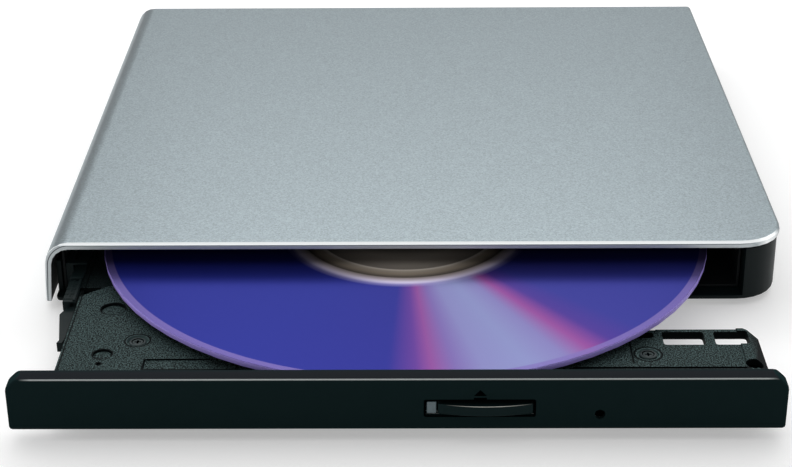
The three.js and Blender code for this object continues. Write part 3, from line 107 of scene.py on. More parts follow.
# How far a face looks up where a wall ends and where a level top begins
LEVEL_FACING = (0.9, 0.97)


class Look:
    """A material in the making. Its values are numbers, colours or the outputs of its other nodes."""

    def __init__(self, name, color, roughness, **settings):
        """Settings are the shader's other sockets, such as coat_weight."""
        self.material = bpy.data.materials.new(name)
        self.material.use_nodes = True
        self.tree = self.material.node_tree
        self.shader = self.tree.nodes["Principled BSDF"]
        self.color = color
        self.feed("Base Color", color)
        self.feed("Roughness", roughness)
        for socket, value in settings.items():
            self.feed(socket.replace("_", " ").title().replace("Ior", "IOR"), value)
        self.place = self.add("ShaderNodeTexCoord").outputs["Object"]

    def feed(self, socket, value):
        self.join(self.shader.inputs[socket], value)

    def join(self, socket, value):
        if isinstance(value, bpy.types.NodeSocket):
            self.tree.links.new(value, socket)
        else:
            socket.default_value = value

    def add(self, kind, inputs=(), **properties):
        node = self.tree.nodes.new(kind)
        for name, value in properties.items():
            setattr(node, name, value)
        for key, value in dict(inputs).items():
            self.join(node.inputs[key], value)
        return node

    def math(self, operation, first, second=0.0, third=0.0):
        inputs = {0: first, 1: second, 2: third}
        return self.add("ShaderNodeMath", inputs, operation=operation).outputs[0]

    def vector(self, operation, first, second=(0, 0, 0)):
        """A sum with vectors. It gives a number for a length or a distance, and else a vector."""
        node = self.add("ShaderNodeVectorMath", {0: first, 1: second}, operation=operation)
        return node.outputs["Value" if operation in ("LENGTH", "DISTANCE") else "Vector"]

    def product(self, first, *others):
        for other in others:
            first = self.math("MULTIPLY", first, other)
        return first

    def highest(self, first, *others):
        for other in others:
            first = self.math("MAXIMUM", first, other)
        return first

    def blend(self, first, second, share):
        """A share of the first value and the rest of the second."""
        return self.math("ADD", self.product(first, share), self.product(second, 1 - share))

    def stretched(self, x=1, y=1, z=1):
        inputs = {"Vector": self.place, "Scale": (x, y, z)}
        return self.add("ShaderNodeMapping", inputs).outputs[0]

    def noise(self, size, detail=2, place=None, rough=0.5):
        """Cloudy noise whose lumps are about size millimetres across."""
        inputs = {
            "Vector": place or self.place,
            "Scale": 1 / (size * MM),
            "Detail": detail,
            "Roughness": rough,
        }
        return self.add("ShaderNodeTexNoise", inputs).outputs[0]

    def cells(self, size, output="Color"):
        inputs = {"Vector": self.place, "Scale": 1 / (size * MM)}
        return self.add("ShaderNodeTexVoronoi", inputs).outputs[output]

    def grains(self, size):
        """Cells of that size, each with a value of its own from 0 to 1."""
        return self.add("ShaderNodeSeparateColor", {0: self.cells(size)}).outputs[0]

    def ramp(self, factor, stops):
        node = self.add("ShaderNodeValToRGB", {0: factor})
        marks = node.color_ramp.elements
        while len(marks) < len(stops):
            marks.new(0.5)
        for mark, (position, color) in zip(marks, stops):
            mark.position = position
            mark.color = color
        return node.outputs[0]

    def spread(self, value, low, high, start=0.0, end=1.0):
        """Value, from start to end, mapped to low to high."""
        inputs = {0: value, 1: start, 2: end, 3: low, 4: high}
        return self.add("ShaderNodeMapRange", inputs).outputs[0]

    def band(self, value, start, full, fade, end):
        """1 where value lies between full and fade, and 0 outside start and end."""
        rise = self.spread(value, 0, 1, start, full)
        fall = self.spread(value, 1, 0, fade, end)
        return self.product(rise, fall)

    def mix(self, factor, first, second, blend="MIX"):
        node = self.add("ShaderNodeMix", data_type="RGBA", blend_type=blend)
        for index, value in ((0, factor), (6, first), (7, second)):
            self.join(node.inputs[index], value)
        return node.outputs[2]

    def facing(self, axis):
        """How far the surface faces along an axis of the object, -1 to 1."""
        normal = self.add("ShaderNodeTexCoord").outputs["Normal"]
        return self.add("ShaderNodeSeparateXYZ", {0: normal}).outputs["XYZ".index(axis)]

    def level(self):
        """1 on level tops and 0 on walls."""
        return self.spread(self.facing("Z"), 0, 1, *LEVEL_FACING)

    def coordinate(self, axis):
        """The place along an axis of the object, in millimetres."""
        metres = self.add("ShaderNodeSeparateXYZ", {0: self.place}).outputs["XYZ".index(axis)]
        return self.math("DIVIDE", metres, MM)

    def vary(self, value, low, high):
        """The base colour, from low to high times itself as value goes from 0 to 1."""
        ends = [(0.0, shade(self.color, low)), (1.0, shade(self.color, high))]
        color = self.ramp(value, ends)
        self.feed("Base Color", color)
        return color

    def bump(self, height, depth, strength=1.0):
        """Relief of depth millimetres from a height of 0 to 1."""
        inputs = {"Strength": strength, "Distance": depth * MM, "Height": height}
        self.feed("Normal", self.add("ShaderNodeBump", inputs).outputs[0])


LACQUER = {
    "paint": srgb(137, 147, 151),
    "lit_edge": srgb(236, 239, 240),
    "cut_face": srgb(205, 212, 214),
    "groove": srgb(70, 76, 80),
    "inside": srgb(14, 16, 17),
    "flake": 0.26,
    "cloud": 0.5,
    "depth": 0.008,
}
# Painted sheen and shade on the lacquer where the lid's left side bends down: how bright it is, by how far
# it faces left
PAINTED_BEND_SHEEN = [(0.0, 1.0), (0.1, 1.0), (0.28, 0.78), (0.52, 0.72), (0.74, 1.4), (0.9, 1.5), (1.0, 1.0)]
# The lid's front edge in millimetres: its outer surface's top and left side, how much that leans out below,
# its roll's radius, and how deep inside the surface a fine dark line, painted as a groove's shade, runs
# along the cut face
LID_EDGE = {"top": 14.0, "left": -71.07, "lean": 0.075, "roll": 4.6, "groove": (0.38, 0.43, 0.56, 0.61)}
# How far the lid's kinds of face look along an axis: the rounded front edge, which gets a painted highlight,
# and the cut face below it along Y, the underside along Z, and the left wall's inner face along X, where
# that lies left of a place
LID_FACING = {
    "edge": (-0.95, -0.8, -0.45, -0.2),
    "cut": (-0.98, -0.93),
    "under": (-0.5, -0.2),
    "wall": (0.5, 0.8),
    "wall_end": -60.0,
}


def edge_depth(look):
    """How far a place on the lid's cut front edge lies inside its outer surface, in millimetres."""
    roll = LID_EDGE["roll"]
    down = look.math("SUBTRACT", LID_EDGE["top"], look.coordinate("Z"))
    out = look.math("MULTIPLY_ADD", down, LID_EDGE["lean"], -LID_EDGE["left"])
    across = look.math("ADD", look.coordinate("X"), out)
    sides = [look.highest(look.math("SUBTRACT", roll, side), 0.0) for side in (across, down)]
    corner = look.add("ShaderNodeCombineXYZ", {0: sides[0], 1: sides[1]}).outputs[0]
    return look.math("SUBTRACT", roll, look.vector("LENGTH", corner))


def lacquer():
    """Silver paint with fine flakes outside, and bare dark plastic inside. Painted light: a highlight on its
    front edge, sheen and shade where its left side bends, and a dark groove line on its cut face.
    """
    look = Look("silver_lacquer", LACQUER["paint"], 0.32, specular_tint=grey(0.5))
    glint = look.grains(LACQUER["flake"])
    grain = look.blend(glint, look.noise(LACQUER["cloud"], 3), 0.5)
    paint = look.vary(grain, 0.6, 1.4)
    # Painted sheen and shade along the bend of the lid's left side
    tones = [(facing, grey(tone)) for facing, tone in PAINTED_BEND_SHEEN]
    bend = look.ramp(look.product(look.facing("X"), -1.0), tones)
    paint = look.mix(1.0, paint, bend, "MULTIPLY")
    forward = look.facing("Y")
    # Painted highlight on the lid's rounded front edge
    paint = look.mix(look.band(forward, *LID_FACING["edge"]), paint, LACQUER["lit_edge"])
    cut = look.spread(forward, 1, 0, *LID_FACING["cut"])
    # A fine dark line on the cut face: painted shade of a groove
    groove = look.band(edge_depth(look), *LID_EDGE["groove"])
    paint = look.mix(cut, paint, look.mix(groove, LACQUER["cut_face"], LACQUER["groove"]))
    under = look.spread(look.facing("Z"), 1, 0, *LID_FACING["under"])
    wall = look.spread(look.facing("X"), 0, 1, *LID_FACING["wall"])
    left_wall = look.product(wall, look.math("LESS_THAN", look.coordinate("X"), LID_FACING["wall_end"]))
    inside = look.highest(under, left_wall)
    look.feed("Base Color", look.mix(inside, paint, LACQUER["inside"]))
    bare = look.highest(inside, look.product(cut, 0.5))
    look.feed("Metallic", look.spread(bare, 0.9, 0.0))
    look.feed("Roughness", look.math("ADD", look.spread(glint, 0.28, 0.38), look.product(bare, 0.4)))
    look.bump(grain, LACQUER["depth"], 0.5)
    return look.material


# How much of moulded plastic's tone comes from its fine grain, and how many grains wide its broad clouds are
FINE_SHARE = 0.7
CLOUD_GRAINS = 14


def plastic(name, color, roughness, grain, depth, spread=0.12, **settings):
    """Moulded plastic with a fine spark-eroded grain."""
    look = Look(name, color, roughness, **settings)
    fine = look.noise(grain, 3)
    broad = look.noise(grain * CLOUD_GRAINS, 2)
    look.vary(look.blend(fine, broad, FINE_SHARE), 1 - spread, 1 + spread)
    look.feed("Roughness", look.spread(broad, roughness - 0.05, roughness + 0.07))
    look.bump(fine, depth)
    return look.material


# The tray's grain: sizes of its lumps and fine grain, how much of it is lumps, between which heights a speck
# begins, the tones from pit to speck, how high a speck stands beside a line's depth, and that depth
TRAY = {
    "plastic": srgb(45, 57, 57),
    # Its walls' colour: smooth plastic, and darker than its tops as painted shade
    "side": srgb(9, 14, 15),
    # Painted light: a paler colour in the pits round its screws, against their shade
    "painted_pit_light": srgb(96, 116, 116),
    "lump": 0.27,
    "fine": 0.16,
    "lump_share": 0.65,
    "speck": (0.46, 0.57),
    "tones": (0.1, 3.1),
    "speck_height": 0.3,
    "depth": 0.16,
}
# Fine straight lines on its top, carved as relief and painted dark as shade: the axis they lie across, place
# and half width there, and their two ends
TRAY_LINES = [
    ("X", -63.0, 0.11, -95, 95),
    ("X", -48.0, 0.14, -80, -76.2),
    ("X", 39.2, 0.16, -78.2, -50),
    ("Y", -80.05, 0.2, -48, -10),
    ("Y", -79.8, 0.35, 26.6, 59.6),
]
LINE_FADE = 0.05
END_FADE = 0.1
# Fine rings on its top, round its screws and round marks, carved as relief and painted dark as shade:
# middle, radius and the radius of a pit painted paler as light
TRAY_RINGS = [
    (-50.1, -69.65, 2.3, 2.12),
    (42.1, -74.55, 2.5, 2.12),
    (-56.3, -57.55, 2.35, 0.0),
    (-55.8, -74.55, 1.8, 0.0),
    (-56.0, -77.95, 0.45, 0.0),
]
RING_HALF = 0.11
# Where its left side, behind its notch, takes the smooth dark side colour as a painted shadow of the lid
TRAY_PAINTED_SHADOW = {"x": -52.0, "y": -48.4, "tone": 0.15}


def tray_shaded_lines_and_lit_pits(look):
    """Two masks for the tray's top: its fine lines and rings, painted dark as shade, and the pits round its
    screws, painted paler as light.
    """
    groove, painted_pit_light = 0.0, 0.0
    for axis, place, half, start, end in TRAY_LINES:
        edges = [place + side * half + step for side in (-1, 1) for step in (-LINE_FADE, LINE_FADE)]
        line = look.band(look.coordinate(axis), *edges)
        along = look.coordinate("Y" if axis == "X" else "X")
        line = look.product(line, look.band(along, start - END_FADE, start, end, end + END_FADE))
        groove = look.highest(groove, line)
    flat_place = look.vector("MULTIPLY", look.place, (1, 1, 0))
    for x, y, ring, pale in TRAY_RINGS:
        radius = look.math("DIVIDE", look.vector("DISTANCE", flat_place, (x * MM, y * MM, 0)), MM)
        edges = [ring + RING_HALF * step for step in (-2, -1, 1, 2)]
        groove = look.highest(groove, look.band(radius, *edges))
        painted_pit_light = look.highest(painted_pit_light, look.math("LESS_THAN", radius, pale))
    return groove, painted_pit_light


def tray_plastic():
    """Black plastic from a coarsely spark-eroded mould: dark pits and light specks on its tops, and smooth
    sides painted darker as shade. Its fine lines and rings and the place behind its notch get painted shade,
    and the pits round its screws painted light.
    """
    look = Look("tray_plastic", TRAY["plastic"], 0.62, specular_ior_level=0.03)
    lumps = look.noise(TRAY["lump"], 2, rough=0.6)
    fine = look.noise(TRAY["fine"], 2)
    speck = look.spread(look.blend(lumps, fine, TRAY["lump_share"]), 0, 1, *TRAY["speck"])
    grained = look.vary(speck, *TRAY["tones"])
    groove, painted_pit_light = tray_shaded_lines_and_lit_pits(look)
    # Painted shadow of the lid on the tray's left side, behind its notch
    beside = look.math("LESS_THAN", look.coordinate("X"), TRAY_PAINTED_SHADOW["x"])
    behind = look.math("GREATER_THAN", look.coordinate("Y"), TRAY_PAINTED_SHADOW["y"])
    painted_shadow = look.spread(look.product(beside, behind), 1, TRAY_PAINTED_SHADOW["tone"])
    # Tops are grained. Walls, the fine lines and rings, and the place behind the notch take the dark side
    # colour: painted shade there.
    top = look.product(look.level(), look.math("SUBTRACT", 1.0, groove), painted_shadow)
    color = look.mix(top, TRAY["side"], grained)
    # Painted light in the pits round the screws
    look.feed("Base Color", look.mix(painted_pit_light, color, TRAY["painted_pit_light"]))
    look.feed("Roughness", look.spread(fine, 0.45, 0.75, 0.3, 0.7))
    relief = look.math("SUBTRACT", look.product(speck, top, TRAY["speck_height"]), groove)
    look.bump(relief, TRAY["depth"])
    return look.material


# The drawer front's grain: its size, its clouds' size, its depth, and how rough it is plain and under its
# painted highlight
FRONT = {"grain": 0.16, "cloud": 2.4, "depth": 0.008, "plain": 0.42, "painted_highlight": 0.25}
# The painted highlight on its upper edge: how far it looks along Z where it begins and is full, and along Y
# where it is full and ends
HIGHLIGHT_FACING = {"up": (0.3, 0.7), "front": (-0.7, -0.25)}


def front_plastic(name, color, shaded_top_color, highlight_color, span, **settings):
    """Fine black plastic, with a colour of its own on level tops as painted shade. A span of its upper edge
    has a painted highlight.
    """
    look = Look(name, color, FRONT["plain"], **settings)
    fine = look.noise(FRONT["grain"], 3)
    broad = look.noise(FRONT["cloud"], 2)
    body = look.vary(look.blend(fine, broad, FINE_SHARE), 0.85, 1.15)
    # Level tops get a colour of their own: painted shade against the light from above
    body = look.mix(look.level(), body, shaded_top_color)
    up = look.spread(look.facing("Z"), 0, 1, *HIGHLIGHT_FACING["up"])
    front = look.spread(look.facing("Y"), 1, 0, *HIGHLIGHT_FACING["front"])
    spotted = look.spread(fine, 0.8, 1.0, 0.3, 0.6)
    # Painted highlight: a light colour on the upper front edge, over a span along X
    painted_highlight = look.product(up, front, spotted, look.band(look.coordinate("X"), *span))
    look.feed("Base Color", look.mix(painted_highlight, body, highlight_color))
    look.feed("Roughness", look.spread(painted_highlight, FRONT["plain"], FRONT["painted_highlight"]))
    look.bump(fine, FRONT["depth"])
    return look.material


SHEET = {"grain": 4.0, "grain_share": 0.4, "mark": 0.25, "mark_stretch": 0.05, "depth": 0.004}


def sheet_metal(name, color, roughness, metallic=1.0, **settings):
    """Plated sheet: faint grains of zinc, and rolling marks along X."""
    look = Look(name, color, roughness, metallic=metallic, **settings)
    grains = look.grains(SHEET["grain"])
    marks = look.noise(SHEET["mark"], 2, look.stretched(x=SHEET["mark_stretch"]))
    look.vary(look.blend(grains, marks, SHEET["grain_share"]), 0.86, 1.1)
    look.feed("Roughness", look.spread(grains, roughness - 0.05, roughness + 0.1))
    look.bump(marks, SHEET["depth"], 0.5)
    return look.material


TURNED = {"mark": 0.3, "stretch": 0.2, "depth": 0.003}


def turned_steel(name, color, roughness, metallic=1.0):
    """Machined metal with faint marks drawn out along Z."""
    look = Look(name, color, roughness, metallic=metallic)
    fine = look.noise(TURNED["mark"], 3, look.stretched(z=TURNED["stretch"]))
    look.vary(fine, 0.88, 1.08)
    look.feed("Roughness", look.spread(fine, roughness - 0.06, roughness + 0.08))
    look.bump(fine, TURNED["depth"], 0.6)
    return look.material


BOARD = {
    "green": srgb(28, 92, 58),
    "pad_color": srgb(176, 160, 104),
    "track": 2.2,
    "track_tone": 1.5,
    "pad": 1.9,
    "pad_share": 0.14,
    "depth": 0.02,
}


def circuit_board():
    """A green board with the relief of its tracks, and scattered tinned pads."""
    look = Look("circuit_board", BOARD["green"], 0.42, coat_weight=0.3)
    bricks = {
        "Vector": look.place,
        "Scale": 1 / (BOARD["track"] * MM),
        "Mortar Size": 0.06,
        "Brick Width": 1.7,
        "Row Height": 0.42,
    }
    tracks = look.add("ShaderNodeTexBrick", bricks).outputs["Fac"]
    pads = look.math("LESS_THAN", look.cells(BOARD["pad"], "Distance"), BOARD["pad_share"])
    color = look.mix(tracks, look.color, shade(look.color, BOARD["track_tone"]))
    look.feed("Base Color", look.mix(pads, color, BOARD["pad_color"]))
    look.bump(tracks, BOARD["depth"], 0.7)
    return look.material


CABLE = {
    "plain": srgb(190, 142, 66),
    "film": srgb(160, 108, 42),
    "copper": srgb(206, 150, 84),
    "tint": srgb(150, 104, 46),
    "pitch": 0.8,
    "copper_half": 0.28,
    "cloud": 6,
    "depth": 0.02,
}


def flat_cable():
    """Amber film over copper strips that run along Y."""
    look = Look("flat_cable", CABLE["plain"], 0.35, coat_weight=0.25)
    across = look.add("ShaderNodeSeparateXYZ", {0: look.place}).outputs[0]
    strips = look.math("FRACT", look.math("DIVIDE", across, CABLE["pitch"] * MM))
    off_middle = look.math("ABSOLUTE", look.math("SUBTRACT", strips, 0.5))
    copper = look.math("LESS_THAN", off_middle, CABLE["copper_half"])
    color = look.mix(copper, CABLE["film"], CABLE["copper"])
    tint = look.spread(look.noise(CABLE["cloud"], 2), 0.1, 0.5)
    look.feed("Base Color", look.mix(tint, color, CABLE["tint"]))
    look.bump(copper, CABLE["depth"], 0.6)
    return look.material


# The disc: radii where its wall, rim, clear hub, mirror and dye begin or end, the width of its grooves'
# shimmer, and how brightly its dye is painted, since light mirrored from it adds the rest
DISC = {
    "centre": Vector((-1.5, -28.65, 0)) * MM,
    "wall": 50.0,
    "rim": (58.4, 58.55),
    "hub": (7.5, 26.5),
    "mirror": (18, 24),
    "dye": (23.0, 25.2),
    "groove": 0.35,
    "share": 0.59,
    "rim_color": srgb(134, 118, 190),
    # The outer wall's colour is a painted glow, as of light coming out through the clear edge
    "painted_wall_glow": srgb(186, 166, 255),
}
# Colours of its front half, by the angle in degrees from the front towards +X: the blue dye, with pale fans
# and magenta streaks painted as reflections of light split by its grooves. The back half has them too,
# turned by half a turn.
DISC_DYE_AND_PAINTED_REFLECTIONS = [
    (-90, (46, 54, 158)),
    (-30, (48, 56, 158)),
    (-3, (50, 54, 154)),
    (2, (104, 66, 158)),
    (5, (150, 84, 162)),
    (9, (132, 112, 182)),
    (14, (142, 142, 198)),
    (22, (146, 152, 204)),
    (29, (142, 136, 196)),
    (34, (158, 84, 164)),
    (39, (84, 62, 158)),
    (46, (62, 64, 160)),
    (90, (52, 60, 160)),
]
# Colours of its clear hub and mirror band, by their share of the hub's way out from the bore
HUB_RINGS = [
    (0.0, srgb(150, 142, 136)),
    (0.28, srgb(168, 160, 150)),
    (0.545, srgb(112, 106, 100)),
    (0.56, srgb(186, 178, 168)),
    (0.60, srgb(150, 140, 128)),
    (0.66, srgb(128, 118, 106)),
    (0.72, srgb(76, 70, 66)),
    (0.74, srgb(146, 136, 134)),
    (0.80, srgb(190, 180, 196)),
    (0.84, srgb(206, 198, 226)),
    (0.88, srgb(150, 144, 190)),
]


def disc_plastic():
    """Clear plastic over a blue-violet dye, with painted reflections: pale fans and streaks across it. A
    lighter rim, a painted glow on its outer wall, and a clear hub.
    """
    look = Look("disc_plastic", srgb(56, 60, 150), 0.2, specular_ior_level=0.04, specular_tint=grey(0.5))
    away = look.vector("SUBTRACT", look.place, DISC["centre"])
    across, along = look.add("ShaderNodeSeparateXYZ", {0: away}).outputs[:2]
    flat = look.add("ShaderNodeCombineXYZ", {0: across, 1: along}).outputs[0]
    metres = look.vector("LENGTH", flat)
    radius = look.math("DIVIDE", metres, MM)
    flip = look.product(look.math("SIGN", along), -1.0)
    angle = look.math("ARCTAN2", look.product(across, flip), look.math("ABSOLUTE", along))
    turn = look.spread(angle, 0.0, 1.0, -math.pi / 2, math.pi / 2)
    stops = [((degrees + 90) / 180, shade(srgb(*color), DISC["share"])) for degrees, color in DISC_DYE_AND_PAINTED_REFLECTIONS]
    dye_and_reflections = look.ramp(turn, stops)
    rim_color = look.mix(0.8, dye_and_reflections, shade(DISC["rim_color"], DISC["share"]))
    body = look.mix(look.spread(radius, 0, 1, *DISC["rim"]), dye_and_reflections, rim_color)
    side = look.spread(look.math("ABSOLUTE", look.facing("Z")), 1, 0, 0.3, 0.8)
    wall = look.product(side, look.math("GREATER_THAN", radius, DISC["wall"]))
    # Painted glow on the outer wall
    body = look.mix(wall, body, DISC["painted_wall_glow"])
    hub = look.ramp(look.spread(radius, 0, 1, *DISC["hub"]), HUB_RINGS)
    look.feed("Base Color", look.mix(look.spread(radius, 1, 0, *DISC["dye"]), body, hub))
    mirror = look.spread(radius, 0.1, 0.55, *DISC["mirror"])
    look.feed("Metallic", look.product(mirror, look.math("SUBTRACT", 1.0, wall)))
    outward = look.add("ShaderNodeCombineXYZ", {0: metres}).outputs[0]
    grooves = look.noise(DISC["groove"], 2, outward)
    look.feed("Roughness", look.spread(grooves, 0.16, 0.24))
    return look.material


def lens_glass():
    look = Look("lens_glass", srgb(120, 150, 190), 0.05, coat_weight=1.0, coat_roughness=0.02)
    look.vary(look.noise(1.2, 1), 0.8, 1.2)
    return look.material


def indicator_plastic():
    look = Look("indicator_plastic", srgb(96, 114, 120), 0.35, coat_weight=0.2)
    look.vary(look.noise(0.4, 2), 0.92, 1.08)
    return look.material


# The size of its clouds is in millimetres, and its half size in metres
FLOOR = {"tone": 0.7, "cloud": 60, "glow": 0.37, "half_size": 3}
SEEN_RAYS = ("Is Camera Ray", "Is Glossy Ray", "Is Transmission Ray")


def floor_material():
    """A pale floor that keeps shadows, and a little light of its own for the camera and reflections."""
    look = Look("floor", grey(FLOOR["tone"]), 0.9)
    look.vary(look.noise(FLOOR["cloud"], 2), 0.995, 1.0)
    rays = look.add("ShaderNodeLightPath").outputs
    seen = look.highest(*[rays[kind] for kind in SEEN_RAYS])
    look.feed("Emission Color", grey(1))
    look.feed("Emission Strength", look.product(seen, FLOOR["glow"]))
    return look.material


looks = {
    "lacquer": lacquer(),
    "case": plastic("case_plastic", srgb(14, 23, 24), 0.45, 0.18, 0.012, specular_ior_level=0.1),
    "front": front_plastic(
        "front_plastic",
        color=srgb(26, 41, 42),
        shaded_top_color=srgb(35, 38, 41),
        highlight_color=srgb(214, 220, 219),
        span=(-67, -65, 60, 62),
        specular_ior_level=0.0,
    ),
    "button": front_plastic(
        "button_plastic",
        color=srgb(14, 32, 33),
        shaded_top_color=srgb(8, 22, 23),
        highlight_color=srgb(255, 255, 246),
        span=(5.5, 10.5, 15.5, 20.5),
        specular_ior_level=0.06,
    ),
    "rail": plastic("rail_plastic", srgb(20, 30, 31), 0.5, 0.2, 0.01, specular_ior_level=0.08),
    "tray": tray_plastic(),
    "rubber": plastic("rubber", srgb(30, 30, 31), 0.85, 0.3, 0.03),
    "sheet": sheet_metal("sheet_metal", srgb(176, 178, 176), 0.36),
    "steel": turned_steel("bright_steel", srgb(196, 196, 194), 0.26),
    "dark_steel": turned_steel("dark_screw", srgb(46, 50, 51), 0.45, 0.3),
    "black_screw": plastic("black_screw", srgb(38, 50, 51), 0.5, 0.3, 0.01, 0.15, specular_ior_level=0.15),
    # Dark sheet for the chassis and top shield: painted shade on their plated steel, which lies in shade
    # inside the case
    "shaded_sheet": sheet_metal("painted_shade_sheet", srgb(22, 25, 26), 0.5, metallic=0.0, specular_ior_level=0.1),
    "gold": turned_steel("gold_contact", srgb(216, 172, 92), 0.24),
    "tin": turned_steel("tin_solder", srgb(190, 192, 194), 0.32),
    # Black ink: print of the eject sign, and painted shade in screw recesses, round the button's slot and in
    # the tray's holes
    "mark": plastic("ink_and_painted_shade", srgb(1, 3, 4), 0.9, 0.2, 0.004, specular_ior_level=0.0),
    "pale": plastic("pale_plastic", srgb(150, 153, 155), 0.5, 0.3, 0.01, 0.06),
    "board": circuit_board(),
    "chip": plastic("chip_plastic", srgb(26, 27, 30), 0.5, 0.15, 0.01),
    "part": plastic("part_ceramic", srgb(120, 96, 70), 0.5, 0.2, 0.004),
    "cable": flat_cable(),
    "indicator": indicator_plastic(),
    "disc": disc_plastic(),
    "lens": lens_glass(),
}

# Look and edge rounding in millimetres of each CAD node
DRESS = {
    ("lacquer", 0.35): ["top_cover"],
    ("case", 0.15): ["bottom_case"],
    ("front", 0.0): ["bezel"],
    ("button", 0.16): ["eject_button"],
    ("rail", 0.08): ["left_rail", "right_rail", "left_rail_guide", "right_rail_guide"],
    ("tray", 0.1): ["tray"],
    ("rubber", 0.12): [
        "foot_front_left", "foot_front_right", "foot_rear_left", "foot_rear_right",
        "damper_bush_1", "damper_bush_2", "damper_bush_3", "turntable_ring",
    ],
    ("shaded_sheet", 0.06): ["drive_chassis", "top_shield"],
    ("sheet", 0.06): ["tray_bottom_cover", "traverse_base", "spindle_motor", "turntable", "pickup_cover"],
    ("steel", 0.06): [
        "lock_post", "usb_socket", "guide_rod_left", "guide_rod_right",
        "sled_motor", "lock_lever", "lock_solenoid",
    ],
    ("dark_steel", 0.06): ["pickup_body"],
    ("pale", 0.06): ["rear_cable_connector", "tray_cable_connector", "sled_nut"],
    ("board", 0.0): ["rear_board", "front_board", "main_board"],
    ("chip", 0.05): [
        "bridge_chip", "usb_tongue", "eject_switch", "main_chip",
        "memory_chip", "spindle_hub", "lens_holder",
    ],
    ("cable", 0.0): ["flex_cable"],
    ("indicator", 0.2): ["indicator_window"],
    ("disc", 0.0): ["disc"],
    ("lens", 0.0): ["objective_lens"],
}
# The distance in millimetres within which split corners are one, and the angles up to which neighbouring
# faces are one plane and an edge between them is left as it is
SAME_PLACE = 0.001
SAME_PLANE = math.radians(0.5)
SMOOTH_BELOW = math.radians(32)


def smooth(piece, rounding):
    """Welds a mesh's split corners, rounds its edges and shades the rest smoothly."""
    piece.data.polygons.foreach_set("use_smooth", [True] * len(piece.data.polygons))
    weld = piece.modifiers.new("weld", "WELD")
    weld.merge_threshold = SAME_PLACE * MM
    flat = piece.modifiers.new("flat", "DECIMATE")
    flat.decimate_type = "DISSOLVE"
    flat.angle_limit = SAME_PLANE
    if rounding:
        bevel = piece.modifiers.new("round", "BEVEL")
        bevel.width = rounding * MM
        bevel.segments = 2
        bevel.limit_method = "ANGLE"
        bevel.angle_limit = SMOOTH_BELOW
        bevel.harden_normals = False
    normals = piece.modifiers.new("normals", "WEIGHTED_NORMAL")
    normals.keep_sharp = True
    normals.weight = 80


def dress_cad():
    for (look, rounding), names in DRESS.items():
        for name in names:
            piece = cad[name]
            piece.data.materials.clear()
            piece.data.materials.append(looks[look])
            smooth(piece, rounding)


# Small details, drawn in millimetres

BLOCK_FACES = ((0, 1, 3, 2), (4, 6, 7, 5), (0, 4, 5, 1), (2, 3, 7, 6), (0, 2, 6, 4), (1, 5, 7, 3))
CIRCLE_STEPS = 32


def corners(node):
    """A CAD node's lowest and highest corners, in millimetres."""
    return [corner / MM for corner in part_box(node)]


def block(mesh, low, high, look=0):
    """A cuboid between two corners, as one part of a piece."""
    spots = [mesh.verts.new(spot) for spot in itertools.product(*zip(low, high))]
    for face in BLOCK_FACES:
        mesh.faces.new([spots[index] for index in face]).material_index = look


def plate(mesh, outline, front, back):
    """An upright plate: an outline in X and Z between two places along Y."""
    near = [mesh.verts.new((x, front, z)) for x, z in outline]
    far = [mesh.verts.new((x, back, z)) for x, z in outline]
    mesh.faces.new(near[::-1])
    mesh.faces.new(far)
    for index, spot in enumerate(near):
        after = (index + 1) % len(near)
        mesh.faces.new((spot, near[after], far[after], far[index]))


def skin(mesh, rings, closed=False):
    """Faces between rings of points. A ring of one point is a tip."""
    rows = [[mesh.verts.new(point) for point in ring] for ring in rings]
    for low, high in zip(rows, rows[1:] + rows[:1] if closed else rows[1:]):
        for index in range(max(len(low), len(high))):
            after = index + 1
            spots = ((low, index), (low, after), (high, after), (high, index))
            face = [row[step % len(row)] for row, step in spots]
            mesh.faces.new(list(dict.fromkeys(face)))


def circle(x, y, z, radius):
    """A level ring of points, or a tip where the radius is 0."""
    if radius == 0:
        return [(x, y, z)]
    turns = [2 * math.pi * index / CIRCLE_STEPS for index in range(CIRCLE_STEPS)]
    return [(x + radius * math.cos(turn), y + radius * math.sin(turn), z) for turn in turns]


def add_detail(name, body, used, build, rounding=0.0, replaces=()):
    """A new piece from a function that draws in a mesh. It rides on a body with a material slot's finish."""
    mesh = bmesh.new()
    build(mesh)
    bmesh.ops.recalc_face_normals(mesh, faces=mesh.faces)
    bmesh.ops.scale(mesh, vec=(MM, MM, MM), verts=mesh.verts)
    data = bpy.data.meshes.new(name)
    mesh.to_mesh(data)
    mesh.free()
    for look in used:
        data.materials.append(looks[look])
    piece = bpy.data.objects.new(name, data)
    bpy.context.collection.objects.link(piece)
    smooth(piece, rounding)
    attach(piece, body)
    if replaces:
        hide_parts(*replaces)


# Cross-head screws: head, shank and bowl are radii, height is the head's, depth is the cross's, arm is how
# far the cross reaches, and the bowl is a shallow dish round it
CASE_SCREW = {"head": 1.8, "height": 0.8, "shank": 0.9, "depth": 0.5, "arm": 0.95, "bowl": 1.2}
TRAY_SCREW = {"head": 1.6, "height": 0.5, "shank": 0.75, "depth": 0.35, "arm": 0.6, "bowl": 1.15}
# Shares of the arm: half an arm's width, and the cross at its bottom. Its tip is a share of the depth.
CROSS = {"half_width": 0.3, "taper": 0.6, "tip": 1.1, "steps": 48}
# The rounding of a head's edge, a bowl's depth and the share of its radius that its floor has
HEAD_ROUND = 0.2
BOWL = {"depth": 0.12, "floor": 0.82}
# Rows along the shank, and the shares of its radius at the thread's root and at the end
THREAD = {"rows": 12, "root": 0.82, "end": 0.7}
# The height in millimetres within which two places are on one level
SAME_LEVEL = 0.01


